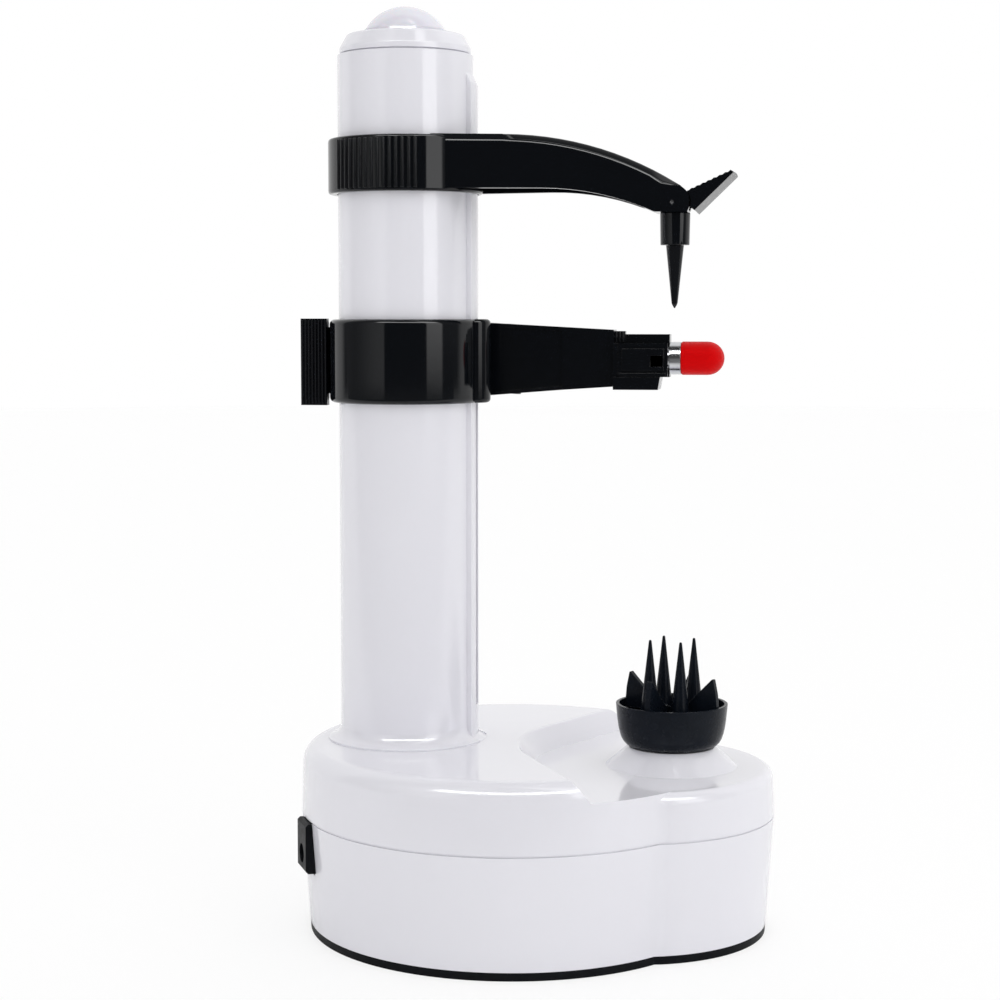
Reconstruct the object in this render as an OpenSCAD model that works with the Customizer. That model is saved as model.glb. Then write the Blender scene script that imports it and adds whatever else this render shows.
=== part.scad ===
// Electric potato peeler: a turntable in a two-lobed base, a column with a lead
// screw, a food arm with a spike and a screw-driven arm that carries the blade.
// X runs from the column to the turntable, Z is up, and the origin is on the
// floor below the middle of the whole outline.

/* [Base] */
// Radius of the large disc of the base at the part line
disc_r = 66.7; // [60:0.1:80]
// Distance from the column to the middle of the large disc
disc_off = 33.7; // [28:0.1:38]
// Radius of the small disc under the turntable at the part line
lobe_r = 45.1; // [40:0.1:52]
// Distance of the turntable ahead of the middle of the small disc
turn_ahead = 12.65; // [10:0.05:15]
// Radius that the lower shell loses from the part line down to the plate
base_draft = 2.4; // [0:0.1:3]
// Radius that the upper shell loses from the part line up to its top
top_draft = 0.5; // [0:0.1:1]
// Height of the part line above the floor
split_z = 37.8; // [36:0.1:44]
// Height of the deck that the column stands on
deck_z = 59.0; // [57:0.1:66]
// Height of the sunken floor round the turntable
sill_z = 52.4; // [51:0.1:55]
// Rounding of the edge of the deck
deck_fillet = 5.5; // [2:0.1:8]
// Rounding of the edge where the sunken floor meets the large disc
sill_fillet = 1.5; // [0.5:0.1:3]
// Rounding of the edge of the small disc
lobe_fillet = 3.5; // [1:0.1:5]
// Wall of the base shells
shell_wall = 2.4; // [1.6:0.1:3]
// Depth of the groove along the part line
groove = 0.5; // [0.2:0.1:1]
// Thickness of the bottom plate
plate_t = 3.0; // [2.6:0.1:5]
// How far the bottom plate is tucked in under the shell
plate_tuck = 1.4; // [0.5:0.1:3]

/* [Sunken floor] */
// Radius of the sunken floor round the turntable
bowl_r = 43.5; // [40:0.1:46]
// How far its sloped wall leans outward
bowl_lean = 5.0; // [3:0.1:7]
// Angle at which the wall leaves the circle and runs straight
bowl_open = 27; // [15:1:40]
// Rounding of the top edge of the wall
bowl_edge = 1.6; // [0.5:0.1:2.5]

/* [Feet and screws] */
// Height of the rubber feet below the bottom plate
foot_h = 0.8; // [0.5:0.1:3]
// Radius of the rubber feet
foot_r = 6; // [4:0.1:7]
// Depth of the recess that a foot is glued in
foot_seat = 1.2; // [0.8:0.1:1.5]
// Radius of the shank of the housing screws
screw_r = 1.5; // [1:0.1:2]
// Radius of the heads of the housing screws
screw_head_r = 2.8; // [2.2:0.1:3.4]
// Length of the housing screws below their heads
screw_len = 14; // [8:1:18]

/* [Turntable] */
// Distance from the column to the turntable
arm_reach = 84.85; // [80:0.05:88]
// Radius of the foot of the pedestal
pedestal_r = 20.8; // [18:0.1:24]
// Radius of the top of the pedestal
pedestal_top_r = 13.6; // [11:0.1:16]
// Height of the pedestal above the sunken floor
pedestal_h = 6.1; // [4:0.1:9]
// Radius of the rim of the cup
cup_r = 17.6; // [15:0.1:20]
// Height of the cup
cup_h = 13.2; // [12:0.1:18]
// Wall of the cup
cup_wall = 0.9; // [0.8:0.1:2]
// Depth of the floor of the cup below its rim
cup_depth = 2.6; // [2:0.1:5]
// Number of prongs, and of fins
prong_count = 4; // [3:1:5]
// Radius of the circle of prongs
prong_ring = 7.35; // [6:0.05:9]
// Radius of the foot of a prong
prong_r = 3.05; // [1.5:0.05:3.2]
// Height of the prongs above the rim
prong_h = 20.3; // [12:0.1:30]
// Height of the fins above the rim
fin_h = 8.9; // [4:0.1:14]
// Thickness of the fins
fin_t = 1.8; // [1:0.1:3]
// Direction of the first prong
prong_turn = 25; // [0:1:89]
// Angle from a prong to the next fin
fin_turn = 41; // [30:1:60]

/* [Gears] */
// How much longer the gear train is than the reach it spans
train_spare = 0.15; // [0.1:0.05:0.5]
// Teeth of the gear below the turntable
turn_teeth = 36; // [35:1:36]
// Teeth of the idler between turntable and lead screw
idler_teeth = 34; // [34:1:35]
// Teeth of the gear on the lead screw
lift_teeth = 32; // [32:1:33]
// Teeth of the large wheel of the compound gear
compound_teeth = 36; // [34:1:36]
// Teeth of the small pinions
pinion_teeth = 12; // [12:1:13]
// Pressure angle of the teeth
pressure_angle = 25; // [20:1:25]
// Play between meshed teeth along the pitch circle
backlash = 0.3; // [0.2:0.05:0.5]
// Height of the top of the gearbox plate above the floor
gearbox_z = 33.5; // [33:0.1:34]
// Thickness of the gearbox plate
gearbox_t = 2.5; // [2:0.1:3]
// Thickness of the gear wheels
gear_t = 4.0; // [3:0.1:4.2]
// Direction from the turntable to the compound gear
compound_dir = 225; // [222:1:230]
// Direction from the compound gear to the motor
motor_dir = 190; // [180:1:200]

/* [Motor] */
// Radius of the motor can
motor_r = 12; // [10:0.1:12.5]
// Length of the motor can
motor_len = 25; // [20:0.1:26]

/* [Power inlet] */
// Direction of the inlet on the rear of the large disc
jack_dir = 206.1; // [190:0.1:210]
// Width of the inlet block
jack_w = 12; // [9:0.1:15]
// Height of the inlet block
jack_h = 17.4; // [12:0.1:18]
// How far the block stands out of the shell
jack_out = 1.8; // [1:0.1:5]
// Radius of the round socket
jack_hole_r = 3.0; // [2.5:0.05:3.5]
// Depth of the round socket
jack_hole_l = 8.5; // [6:0.1:9.5]

/* [Column] */
// Radius of the column
col_r = 21.3; // [19:0.1:22]
// Height of the top of the column tube above the floor
col_top_z = 275.7; // [274:0.1:290]
// Wall of the column
col_wall = 2.2; // [1.6:0.1:2.4]
// Radius of the flared foot of the column
col_foot_r = 25.4; // [24:0.1:28]
// Height of the flared foot
col_foot_h = 5.0; // [3:0.1:7]
// How far the guide rail stands out of the column
rail_out = 1.5; // [1:0.1:1.6]
// Half the width of the guide rail
rail_half = 6.1; // [5:0.1:7]
// Half the width of the slot in the guide rail
slot_half = 2.1; // [1.6:0.1:2.6]
// Distance from the top of the column tube down to the top of the rail
rail_drop = 8.4; // [6:0.1:10]
// Height of the cap above the column tube
cap_h = 6.3; // [5:0.1:8]
// Radius of the cap
cap_r = 20.0; // [18:0.1:21]

/* [Lead screw] */
// Radius of the lead screw
lead_r = 4.0; // [3:0.1:5]
// Radius of the journals of the lead screw
journal_r = 3.0; // [2:0.1:3]
// Pitch of the thread of the lead screw
thread_pitch = 4.0; // [3:0.5:5]
// Depth of the thread
thread_depth = 0.7; // [0.4:0.1:1]
// Radial play of a shaft that turns in a bore
run_fit = 0.05; // [0.02:0.01:0.1]
// Radial play of the collars on the column and of other sliding pieces
slide_fit = 0.3; // [0.2:0.05:0.4]
// Gap left between pieces that only pass each other
pass_gap = 0.5; // [0.3:0.1:0.7]

/* [Start button] */
// Radius of the dome of the start button
dome_r = 12.4; // [10:0.1:14]
// Height of the dome above the cap
dome_h = 8.0; // [5:0.1:10]
// Travel of the start button
button_travel = 2.0; // [1:0.1:2.5]

/* [Food arm] */
// Height of the bottom of the food collar above the floor
food_z = 231.7; // [229:0.1:236]
// Height of the food collar
food_h = 17.1; // [14:0.1:20]
// Radius of the food collar
food_r = 24.3; // [24:0.1:27]
// Number of grip ribs on each side of the food collar
grip_count = 15; // [8:1:16]
// Radius of a grip rib
grip_r = 0.55; // [0.3:0.05:0.6]
// Half the width of the arm where it leaves the collar
arm_root_half = 18.4; // [14:0.1:19]
// Half the width of the arm at its nose
arm_nose_half = 6.4; // [6:0.1:9]
// How far the arm droops from the collar to its nose
arm_droop = 17.4; // [12:0.1:20]
// Wall of the hollow arm
arm_wall = 2.4; // [1.6:0.1:3]
// Radius of the cup that holds the spike
spike_cup_r = 4.6; // [4:0.1:5]
// Height of the cup that holds the spike
spike_cup_h = 10.0; // [8:0.1:12]
// Length of the spike below its cup
spike_len = 19.4; // [12:0.1:22]
// Radius of the spike below its cup
spike_r = 2.8; // [2:0.1:3]
// Width of the thumb lever
lever_w = 12.4; // [10:0.1:14]
// Length of the thumb lever outside the arm
lever_len = 18.5; // [14:0.1:22]
// Slope of the thumb lever
lever_slope = 24; // [20:1:35]
// Radius of the crown under the thumb lever
lever_crown_r = 16; // [12:0.5:40]
// Number of steps on the thumb lever
lever_steps = 8; // [5:1:10]

/* [Peel carriage] */
// Height of the bottom of the peel collar above the floor
peel_z = 167.3; // [166:0.1:169]
// Height of the peel collar
peel_h = 24.7; // [23:0.1:26]
// Radius of the peel collar
peel_r = 24.2; // [24:0.1:26]
// Rounding of the edges of the peel collar
peel_fillet = 1.6; // [0.5:0.1:2]
// Radius of the steel pins
pin_r = 1.5; // [1:0.1:1.6]
// Distance of the arm's pivot ahead of the column's axis
pivot_x = 31.0; // [30:0.1:33]
// Distance of the middle of the peel arm beside the column's axis
peel_arm_y = 14.5; // [14:0.1:16]
// Thickness of the peel arm
peel_arm_t = 9.0; // [8:0.1:10]
// Wall of the peel arm
peel_arm_wall = 2.0; // [1.6:0.1:2.4]
// Distance of the arm's end ahead of the column's axis
peel_arm_end = 65.0; // [60:0.1:67]
// Distance from the back of the peel arm to the knee of its lower edge
knee_run = 24.3; // [20:0.1:30]
// How far the knee lies above the straight line
knee_lift = 0.95; // [0:0.05:1.5]
// Height of the peel arm at its end
peel_arm_end_h = 18.0; // [16:0.1:20]
// Length of the blade holder
holder_len = 17.5; // [17:0.1:20]
// Radius of the steel sleeve of the blade
sleeve_r = 5.2; // [4.5:0.1:5.3]
// Radius of the red cap over the blade
blade_cap_r = 5.3; // [5:0.1:5.8]
// Length of the red cap over the blade
blade_cap_len = 13.6; // [12:0.1:16]
// How far the thumb tab stands out behind the collar
tab_len = 9.0; // [7:0.1:9]
// Number of ribs on the thumb tab
tab_ribs = 8; // [5:1:9]

/* [Hidden] */
$fn = 64;

white_shell = [0.93, 0.93, 0.95];
black_plastic = [0.06, 0.06, 0.08];
rubber_black = [0.1, 0.1, 0.1];
steel_grey = [0.72, 0.73, 0.75];
gear_white = [0.88, 0.87, 0.8];
brass_tone = [0.78, 0.62, 0.3];
cap_red = [0.85, 0.03, 0.03];

// The whole outline in X, measured from the column, and where that puts the axes.
jack_back = 180 - jack_dir;
outline_back = -max(disc_r - disc_off, peel_r + tab_len,
    (disc_r + jack_out) * cos(jack_back) + jack_w / 2 * abs(sin(jack_back)) - disc_off);
lobe_off = arm_reach - turn_ahead;
outline_front = lobe_off + lobe_r;
col_x = -(outline_back + outline_front) / 2;
disc_x = col_x + disc_off;
lobe_x = col_x + lobe_off;
turn_x = col_x + arm_reach;

// Heights in the base.
plate_z = foot_h;
plate_top = plate_z + plate_t;
sill_under = sill_z - shell_wall;
deck_under = deck_z - shell_wall;
big = 200;
overlap = 1;

// Gear train: the tooth size follows from the reach, and each centre from the pitch radii.
gear_module = 2 * (arm_reach + train_spare) / (turn_teeth + 2 * idler_teeth + lift_teeth);
function pitch_r(teeth) = teeth * gear_module / 2;
turn_pos = [turn_x, 0];
compound_gap = pitch_r(turn_teeth) + pitch_r(pinion_teeth);
compound_pos = turn_pos + compound_gap * [cos(compound_dir), sin(compound_dir)];
motor_gap = pitch_r(compound_teeth) + pitch_r(pinion_teeth);
motor_pos = compound_pos + motor_gap * [cos(motor_dir), sin(motor_dir)];
lift_pos = [col_x, 0];
idler_to_lift = pitch_r(idler_teeth) + pitch_r(lift_teeth);
idler_to_turn = pitch_r(idler_teeth) + pitch_r(turn_teeth);
idler_along = (pow(idler_to_lift, 2) - pow(idler_to_turn, 2) + pow(arm_reach, 2))
    / (2 * arm_reach);
idler_side = sqrt(max(0, pow(idler_to_lift, 2) - pow(idler_along, 2)));
idler_pos = [col_x + idler_along, idler_side];
washer_t = 0.6;
low_gear_z = gearbox_z + washer_t;
high_gear_z = low_gear_z + gear_t + 2.4;
high_gear_top = high_gear_z + gear_t;
axle_r = 2.0;
relief_depth = 1.0;

function direction(from, to) = atan2(to[1] - from[1], to[0] - from[0]);
// Turn of a driven gear that puts its gap on a tooth of the driving gear.
function mesh_turn(line, turn_1, teeth_1, teeth_2) =
    line + 180 - (teeth_1 * (turn_1 - line) + 180) / teeth_2;
turn_turn = 0;
small_turn = mesh_turn(compound_dir, turn_turn, turn_teeth, pinion_teeth);
motor_turn = mesh_turn(motor_dir, small_turn, compound_teeth, pinion_teeth);
idler_turn = mesh_turn(direction(turn_pos, idler_pos), turn_turn, turn_teeth, idler_teeth);
lift_turn = mesh_turn(direction(idler_pos, lift_pos), idler_turn, idler_teeth, lift_teeth);

// Turntable.
pedestal_top_z = sill_z + pedestal_h;
cup_z = pedestal_top_z + pass_gap;
cup_rim_z = cup_z + cup_h;
cup_floor_z = cup_rim_z - cup_depth;
shaft_r = 4.0;
bush_r = 6.0;
hub_r = 7.0;

// Column.
rail_r = col_r + rail_out;
col_in_r = col_r - col_wall;
collar_bore_r = col_r + slide_fit;
notch_r = rail_r + slide_fit;
notch_half = rail_half + slide_fit;
rail_top_z = col_top_z - rail_drop;
rail_ramp = 3.5;
foot_flange_t = 4.0;
foot_bore_r = 13.5;
col_screw_ring = 16.6;
bearing_t = 3.0;
ledge_t = 2.5;
top_plate_z = col_top_z - 13.7;
cap_spigot_z = top_plate_z + bearing_t;
spigot_t = 1.8;

// Start button.
cap_top_z = col_top_z + cap_h;
dome_bore_r = dome_r + slide_fit;
button_lip_r = dome_r + 2.0;
button_lip_t = 1.4;
button_lip_z = col_top_z + 1.0;
switch_l = 12.8;
switch_w = 5.8;
switch_h = 6.5;
switch_z = top_plate_z + bearing_t;
switch_key_h = 1.0;
plunger_r = 2.0;
plunger_z = switch_z + switch_h + switch_key_h + button_travel + pass_gap / 2;
button_coil_r = dome_r - 0.9;
spring_wire_r = 0.5;

// Food arm.
food_top_z = food_z + food_h;
food_notch_wall = 1.2;
nose_x = col_x + arm_reach + 4.6;
nose_z = food_z - 6.2;
arm_top_z = food_top_z + 0.4;
arm_flat = 33.2;
arm_under_flat = 45.0;
arm_under_z = food_z + 1.0;
spike_cup_top = nose_z;
spike_cup_z = spike_cup_top - spike_cup_h;
spike_shank_r = 1.8;
spike_shank_l = 7.0;
spigot_h = 0.7;
lever_pin_x = turn_x - 0.6;
lever_pin_z = nose_z + 3.0;
lever_pin_r = 0.8;
lever_knuckle_r = 2.2;
lever_slot_half = 3.3;
lever_neck_half = lever_slot_half - slide_fit;
nose_round_r = nose_x - lever_pin_x + 0.3;
lever_back_r = nose_round_r + slide_fit;

// Peel carriage.
peel_top_z = peel_z + peel_h;
peel_mid_z = peel_z + peel_h / 2;
nut_h = 14.0;
nut_r = 9.0;
nut_z = peel_mid_z - nut_h / 2;
key_half = slot_half - 0.2;
slot_low_z = deck_z + col_foot_h + 6;
slot_high_z = peel_mid_z + nut_h / 2 + 6;
lug_r = 3.6;
lug_half_h = 7.0;
arm_near_y = peel_arm_y - peel_arm_t / 2;
arm_far_y = peel_arm_y + peel_arm_t / 2;
pivot = [col_x + pivot_x, arm_near_y + peel_arm_wall + slide_fit + lug_r];
arm_back_x = col_x + peel_r;
arm_end_x = col_x + peel_arm_end;
arm_low_z = peel_z - 1.0;
arm_high_z = peel_top_z;
arm_end_low_z = peel_mid_z + 0.7 - peel_arm_end_h / 2;
arm_end_high_z = arm_end_low_z + peel_arm_end_h;
blade_z = peel_mid_z + 0.7;
holder_x = arm_end_x;
holder_end_x = holder_x + holder_len;
cartridge_x = holder_x + 1.5;
cartridge_front_y = arm_near_y - 2.4;
cartridge_back_y = arm_near_y + 3.2;
sleeve_y = cartridge_front_y + 1.4 + sleeve_r;
holder_back_y = sleeve_y + sleeve_r + 1.0;
tail_r = 3.6;
tail_x = holder_end_x - 5.0;
cap_x = holder_end_x + 3.7;
cap_bore_r = blade_cap_r - 1.0;
blade_r = 3.6;
blade_len = 9.0;

// Thumb tab of the peel carriage.
tab_tip_x = col_x - peel_r - tab_len;
tab_root_x = col_x - peel_r - 0.5;
tab_pivot = [col_x - peel_r - 2.6, 3.2];
tab_front_y = -4.6;
tab_plate_t = 2.8;
tab_back_y = tab_front_y + tab_plate_t;
tab_knuckle_r = 2.6;
tab_room_h = 16.0;

// ---- Shared shapes ----

// Points of an arc about a centre, from one angle to another.
function arc_points(centre, radius, from, to, steps) =
    [for (i = [0:steps]) let (a = from + (to - from) * i / steps)
        centre + radius * [cos(a), sin(a)]];

// Revolved disc with a draft and a rounded top edge.
module rounded_disc(radius, low, high, draft, fillet) {
    top_r = radius - draft;
    rotate_extrude($fn = 160)
        polygon(concat([[0, low], [radius, low]],
            arc_points([top_r - fillet, high - fillet], fillet, 0, 90, 8),
            [[0, high]]));
}

// Outline of the sunken floor: an arc round the turntable that opens into straight sides.
function bowl_outline(radius) =
    let (turn = 180 - bowl_open, far = big / 2,
        end = radius * [cos(turn), sin(turn)] + far * [sin(turn), -cos(turn)])
    concat([[big, end[1]], end], arc_points([0, 0], radius, turn, 360 - turn, 28),
        [[end[0], -end[1]], [big, -end[1]]]);

module bowl_slice(radius, height) {
    translate([turn_x, 0, height]) linear_extrude(0.01) polygon(bowl_outline(radius));
}

// The sunken floor with its leaning wall; steps shape the rounding of its top edge.
module bowl(radius, low, high, lean, edge, steps) {
    slope = atan2(high - low, lean);
    reach = edge * tan(slope / 2);
    bend = arc_points([radius + lean + reach, high - edge], edge, 90 + slope, 90, steps);
    levels = concat([[radius, low]], [for (i = [0:steps - 1]) bend[i]],
        [bend[steps - 1] + 1.3 * (bend[steps] - bend[steps - 1])]);
    for (i = [0:steps])
        hull() {
            bowl_slice(levels[i][0], levels[i][1]);
            bowl_slice(levels[i + 1][0], levels[i + 1][1]);
        }
}

// Solid form of the upper shell; inset shrinks it all round for the inside.
module upper_form(inset, low) {
    drop = inset;
    edge = max(0.3, bowl_edge - inset);
    union() {
        difference() {
            translate([disc_x, 0, 0])
                rounded_disc(disc_r - inset, low, deck_z - drop, top_draft,
                    max(0.5, deck_fillet - inset));
            bowl(bowl_r + inset, sill_z - drop, deck_z - drop, bowl_lean, edge,
                inset > 0 ? 1 : 3);
        }
        translate([disc_x, 0, 0])
            rounded_disc(disc_r - inset, low, sill_z - drop, top_draft,
                max(0.5, sill_fillet - inset));
        translate([lobe_x, 0, 0])
            rounded_disc(lobe_r - inset, low, sill_z - drop, top_draft,
                max(0.5, lobe_fillet - inset));
    }
}

// Two drafted discs side by side, as the lower shell has them.
module lower_form(inset, low, high) {
    for (disc = [[disc_x, disc_r], [lobe_x, lobe_r]])
        translate([disc[0], 0, low])
            cylinder(h = high - low, r1 = disc[1] - base_draft - inset,
                r2 = disc[1] - inset, $fn = 160);
}

// Flat plate of two discs.
module twin_plate(disc_radius, lobe_radius, low, thick) {
    translate([disc_x, 0, low]) cylinder(h = thick, r = disc_radius, $fn = 160);
    translate([lobe_x, 0, low]) cylinder(h = thick, r = lobe_radius, $fn = 160);
}

// Where the housing screws sit, and where the feet and the gearbox posts sit.
screw_places = concat(
    [for (a = [130, 262]) [disc_x, 0] + (disc_r - 9.5) * [cos(a), sin(a)]],
    [for (a = [-22, 22]) [lobe_x, 0] + (lobe_r - 9.5) * [cos(a), sin(a)]]);
foot_places = concat(
    [for (a = [135, 225]) [disc_x, 0] + (disc_r - 22) * [cos(a), sin(a)]],
    [for (a = [-48, 48]) [lobe_x, 0] + (lobe_r - 20) * [cos(a), sin(a)]]);
post_places = [for (a = [62, 150, 210, 284]) [disc_x, 0] + (disc_r - 16) * [cos(a), sin(a)]];
boss_r = 4.0;
post_r = 3.5;
lip_h = 2.5;
lip_t = 1.6;
boss_top = plate_top + screw_len + 1;

// Involute gear outline, tooth 0 pointing along +X.
function involute(angle) = tan(angle) * 180 / PI - angle;
function tooth_half(r, rp, rb, half) =
    half + involute(pressure_angle) - involute(acos(min(1, rb / r)));
function gear_outline(teeth) =
    let (rp = pitch_r(teeth), rb = rp * cos(pressure_angle),
        ra = rp + gear_module * 0.95, rr = rp - gear_module * 1.2,
        start = max(rb, rr),
        half = 90 / teeth - backlash / 2 / rp * 90 / PI,
        radii = [start, (start + ra) / 2, ra])
    [for (k = [0:teeth - 1]) let (mid = 360 * k / teeth,
            foot = tooth_half(start, rp, rb, half))
        for (p = concat([[rr, -foot]], [for (r = radii) [r, -tooth_half(r, rp, rb, half)]],
                [for (i = [2:-1:0]) [radii[i], tooth_half(radii[i], rp, rb, half)]],
                [[rr, foot]]))
            p[0] * [cos(mid + p[1]), sin(mid + p[1])]];

module gear_wheel(teeth, thick) {
    linear_extrude(thick) polygon(gear_outline(teeth));
}

// Coil spring along +Z: a round wire swept along a helix.
module coil(radius, wire, height, turns) {
    sides = 8;
    per_turn = 14;
    count = turns * per_turn;
    lean = atan2(height, 2 * PI * radius * turns);
    rings = [for (i = [0:count]) let (a = 360 * i / per_turn, z = height * i / count)
        for (j = [0:sides - 1]) let (b = 360 * j / sides)
            [(radius + wire * cos(b)) * cos(a) + wire * sin(b) * sin(lean) * sin(a),
             (radius + wire * cos(b)) * sin(a) - wire * sin(b) * sin(lean) * cos(a),
             z + wire * sin(b) * cos(lean)]];
    skin = [for (i = [0:count - 1], j = [0:sides - 1]) let (n = (j + 1) % sides)
        [i * sides + j, i * sides + n, (i + 1) * sides + n, (i + 1) * sides + j]];
    ends = [[for (j = [0:sides - 1]) sides - 1 - j],
        [for (j = [0:sides - 1]) count * sides + j]];
    polyhedron(rings, [for (f = concat(skin, ends)) [for (i = [len(f) - 1:-1:0]) f[i]]]);
}

// Pan-head screw, head down at the origin, shank up.
module pan_screw(length, shank, head) {
    cylinder(h = 2, r = head, $fn = 32);
    translate([0, 0, 2]) cylinder(h = length, r = shank, $fn = 32);
}

// ---- Base ----

module base_plate() {
    color(black_plastic) difference() {
        union() {
            for (disc = [[disc_x, disc_r], [lobe_x, lobe_r]])
                translate([disc[0], 0, plate_z])
                    cylinder(h = plate_t, r1 = disc[1] - base_draft - plate_tuck,
                        r2 = disc[1] - base_draft, $fn = 160);
            for (p = post_places)
                translate([p[0], p[1], plate_top - overlap])
                    cylinder(h = gearbox_z - gearbox_t - plate_top + overlap, r = post_r);
        }
        for (p = foot_places)
            translate([p[0], p[1], plate_z - overlap])
                cylinder(h = foot_seat + overlap, r = foot_r + 0.1);
        for (p = screw_places) translate([p[0], p[1], plate_z - overlap]) {
            cylinder(h = plate_t + 2 * overlap, r = screw_r + 0.2);
            cylinder(h = 2 + overlap, r = screw_head_r + 0.2);
        }
        for (p = post_places)
            translate([p[0], p[1], gearbox_z - gearbox_t - 9]) cylinder(h = 10, r = screw_r - 0.4);
    }
}

module rubber_feet() {
    color(rubber_black)
        for (p = foot_places)
            translate([p[0], p[1], 0]) rotate_extrude()
                polygon([[0, 0], [foot_r - 0.8, 0], [foot_r, 0.5], [foot_r, foot_h + foot_seat],
                    [0, foot_h + foot_seat]]);
}

module base_screws() {
    color(steel_grey)
        for (p = screw_places) translate([p[0], p[1], plate_z])
            difference() {
                pan_screw(screw_len, screw_r, screw_head_r);
                for (a = [0, 90]) rotate([0, 0, a])
                    translate([0, 0, 0.2]) cube([3.6, 0.8, 1.4], center = true);
            }
}

module lower_shell() {
    color(white_shell) difference() {
        union() {
            difference() {
                lower_form(0, plate_top, split_z);
                lower_form(shell_wall, plate_top - overlap, split_z + overlap);
            }
            for (p = screw_places) translate([p[0], p[1], plate_top])
                cylinder(h = boss_top - plate_top, r = boss_r);
            for (p = screw_places) boss_web(p);
        }
        for (p = screw_places) translate([p[0], p[1], plate_top - overlap])
            cylinder(h = boss_top - plate_top, r = screw_r);
        // Step that makes the groove of the part line.
        difference() {
            twin_plate(disc_r + overlap, lobe_r + overlap, split_z - groove, 2 * groove);
            twin_plate(disc_r - groove, lobe_r - groove, split_z - 2 * groove, 4 * groove);
        }
        jack_seat(0);
    }
}

// Web that ties a screw boss to the nearest wall.
module boss_web(place) {
    home = place[0] > lobe_x ? [lobe_x, 0] : [disc_x, 0];
    reach = place[0] > lobe_x ? lobe_r : disc_r;
    away = direction(home, place);
    span = reach - base_draft - shell_wall / 2 - norm(place - home);
    translate([place[0], place[1], plate_top])
        rotate([0, 0, away])
            translate([boss_r / 2, -0.9, 0]) cube([span - boss_r / 2, 1.8, boss_top - plate_top - 4]);
}

module upper_shell() {
    color(white_shell) difference() {
        union() {
            difference() {
                union() {
                    upper_form(0, split_z);
                    translate([turn_x, 0, sill_z - overlap])
                        cylinder(h = overlap, r = pedestal_r, $fn = 128);
                    translate([turn_x, 0, sill_z])
                        cylinder(h = pedestal_h, r1 = pedestal_r, r2 = pedestal_top_r, $fn = 128);
                }
                upper_form(shell_wall, split_z - overlap);
            }
            // Lip that locates the upper shell in the lower one.
            difference() {
                union() {
                    lip_plate(shell_wall + 0.2, split_z - lip_h, lip_h);
                    lip_plate(shell_wall - overlap / 2, split_z, 2);
                }
                lip_plate(shell_wall + lip_t, split_z - lip_h - overlap, lip_h + 4 * overlap);
                jack_seat(0.4);
            }
            // Sleeve below the pedestal that holds the bush.
            translate([turn_x, 0, high_gear_top + pass_gap])
                cylinder(h = sill_z - high_gear_top - pass_gap, r = bush_r + 2);
        }
        translate([turn_x, 0, high_gear_top - overlap])
            cylinder(h = big, r = bush_r);
        translate([col_x, 0, deck_under - overlap])
            cylinder(h = shell_wall + 2 * overlap, r = foot_bore_r);
        for (a = [90, 180, 270]) column_screw_place(a)
            translate([0, 0, deck_under - overlap])
                cylinder(h = shell_wall + 2 * overlap, r = screw_r + 0.2);
    }
}

module lip_plate(inset, low, thick) {
    twin_plate(disc_r - inset, lobe_r - inset, low, thick);
}

module column_screw_place(angle) {
    translate([col_x + col_screw_ring * cos(angle), col_screw_ring * sin(angle), 0]) children();
}

// Frame of the power inlet: X outward through the shell, origin on its outer face.
module at_jack() {
    translate([disc_x + (disc_r + jack_out) * cos(jack_dir), (disc_r + jack_out) * sin(jack_dir), 0])
        rotate([0, 0, jack_dir]) children();
}

jack_top = split_z - 0.4;
jack_low = jack_top - jack_h;
jack_in = jack_hole_l + 1 - jack_out;
jack_hole_z = jack_low + 7.2;
jack_chamfer = 0.8;
seat_gap = 0.05;

// Cut-out of the shell wall that the inlet block sits in.
module jack_seat(play) {
    at_jack()
        translate([-jack_out - jack_in - 3, -jack_w / 2 + 1 - play, jack_low + 1 - play])
            cube([jack_out + jack_in + 4, jack_w - 2 + 2 * play, split_z - jack_low + 2]);
}

module jack_block() {
    color(black_plastic) at_jack() difference() {
        union() {
            // Outer plate with sloped top and bottom.
            rotate([90, 0, 0]) translate([0, 0, -jack_w / 2])
                linear_extrude(jack_w)
                    polygon([[0, jack_low + jack_chamfer], [0, jack_top - jack_chamfer],
                        [-jack_chamfer, jack_top], [-jack_out - base_draft, jack_top],
                        [-jack_out - base_draft, jack_low], [-jack_chamfer, jack_low]]);
            // Body that passes through the shell.
            translate([-jack_out - jack_in, -jack_w / 2 + 1.1, jack_low + 1.1])
                cube([jack_in + 1, jack_w - 2.2, jack_h - 1.4]);
        }
        translate([-jack_hole_l, 0, jack_hole_z]) rotate([0, 90, 0])
            cylinder(h = jack_hole_l + overlap, r = jack_hole_r);
        translate([-jack_hole_l - overlap, 0, jack_hole_z]) rotate([0, 90, 0])
            cylinder(h = 2 * overlap, r = 1.0);
        jack_shell_gap();
    }
}

// What the outer plate leaves free for the curved and drafted shell behind it.
module jack_shell_gap() {
    translate([-(disc_r + jack_out), 0, 0]) difference() {
        translate([0, 0, plate_top])
            cylinder(h = split_z - plate_top, r1 = disc_r - base_draft + seat_gap,
                r2 = disc_r + seat_gap, $fn = 160);
        translate([0, -jack_w / 2 + 1.1, jack_low + 1.1])
            cube([big, jack_w - 2.2, split_z - jack_low]);
    }
}

module jack_pin() {
    color(brass_tone) at_jack() translate([-jack_hole_l - overlap, 0, jack_hole_z])
        rotate([0, 90, 0]) {
            cylinder(h = jack_hole_l - 0.5, r = 1.0, $fn = 32);
        }
}

// ---- Drive ----

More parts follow.
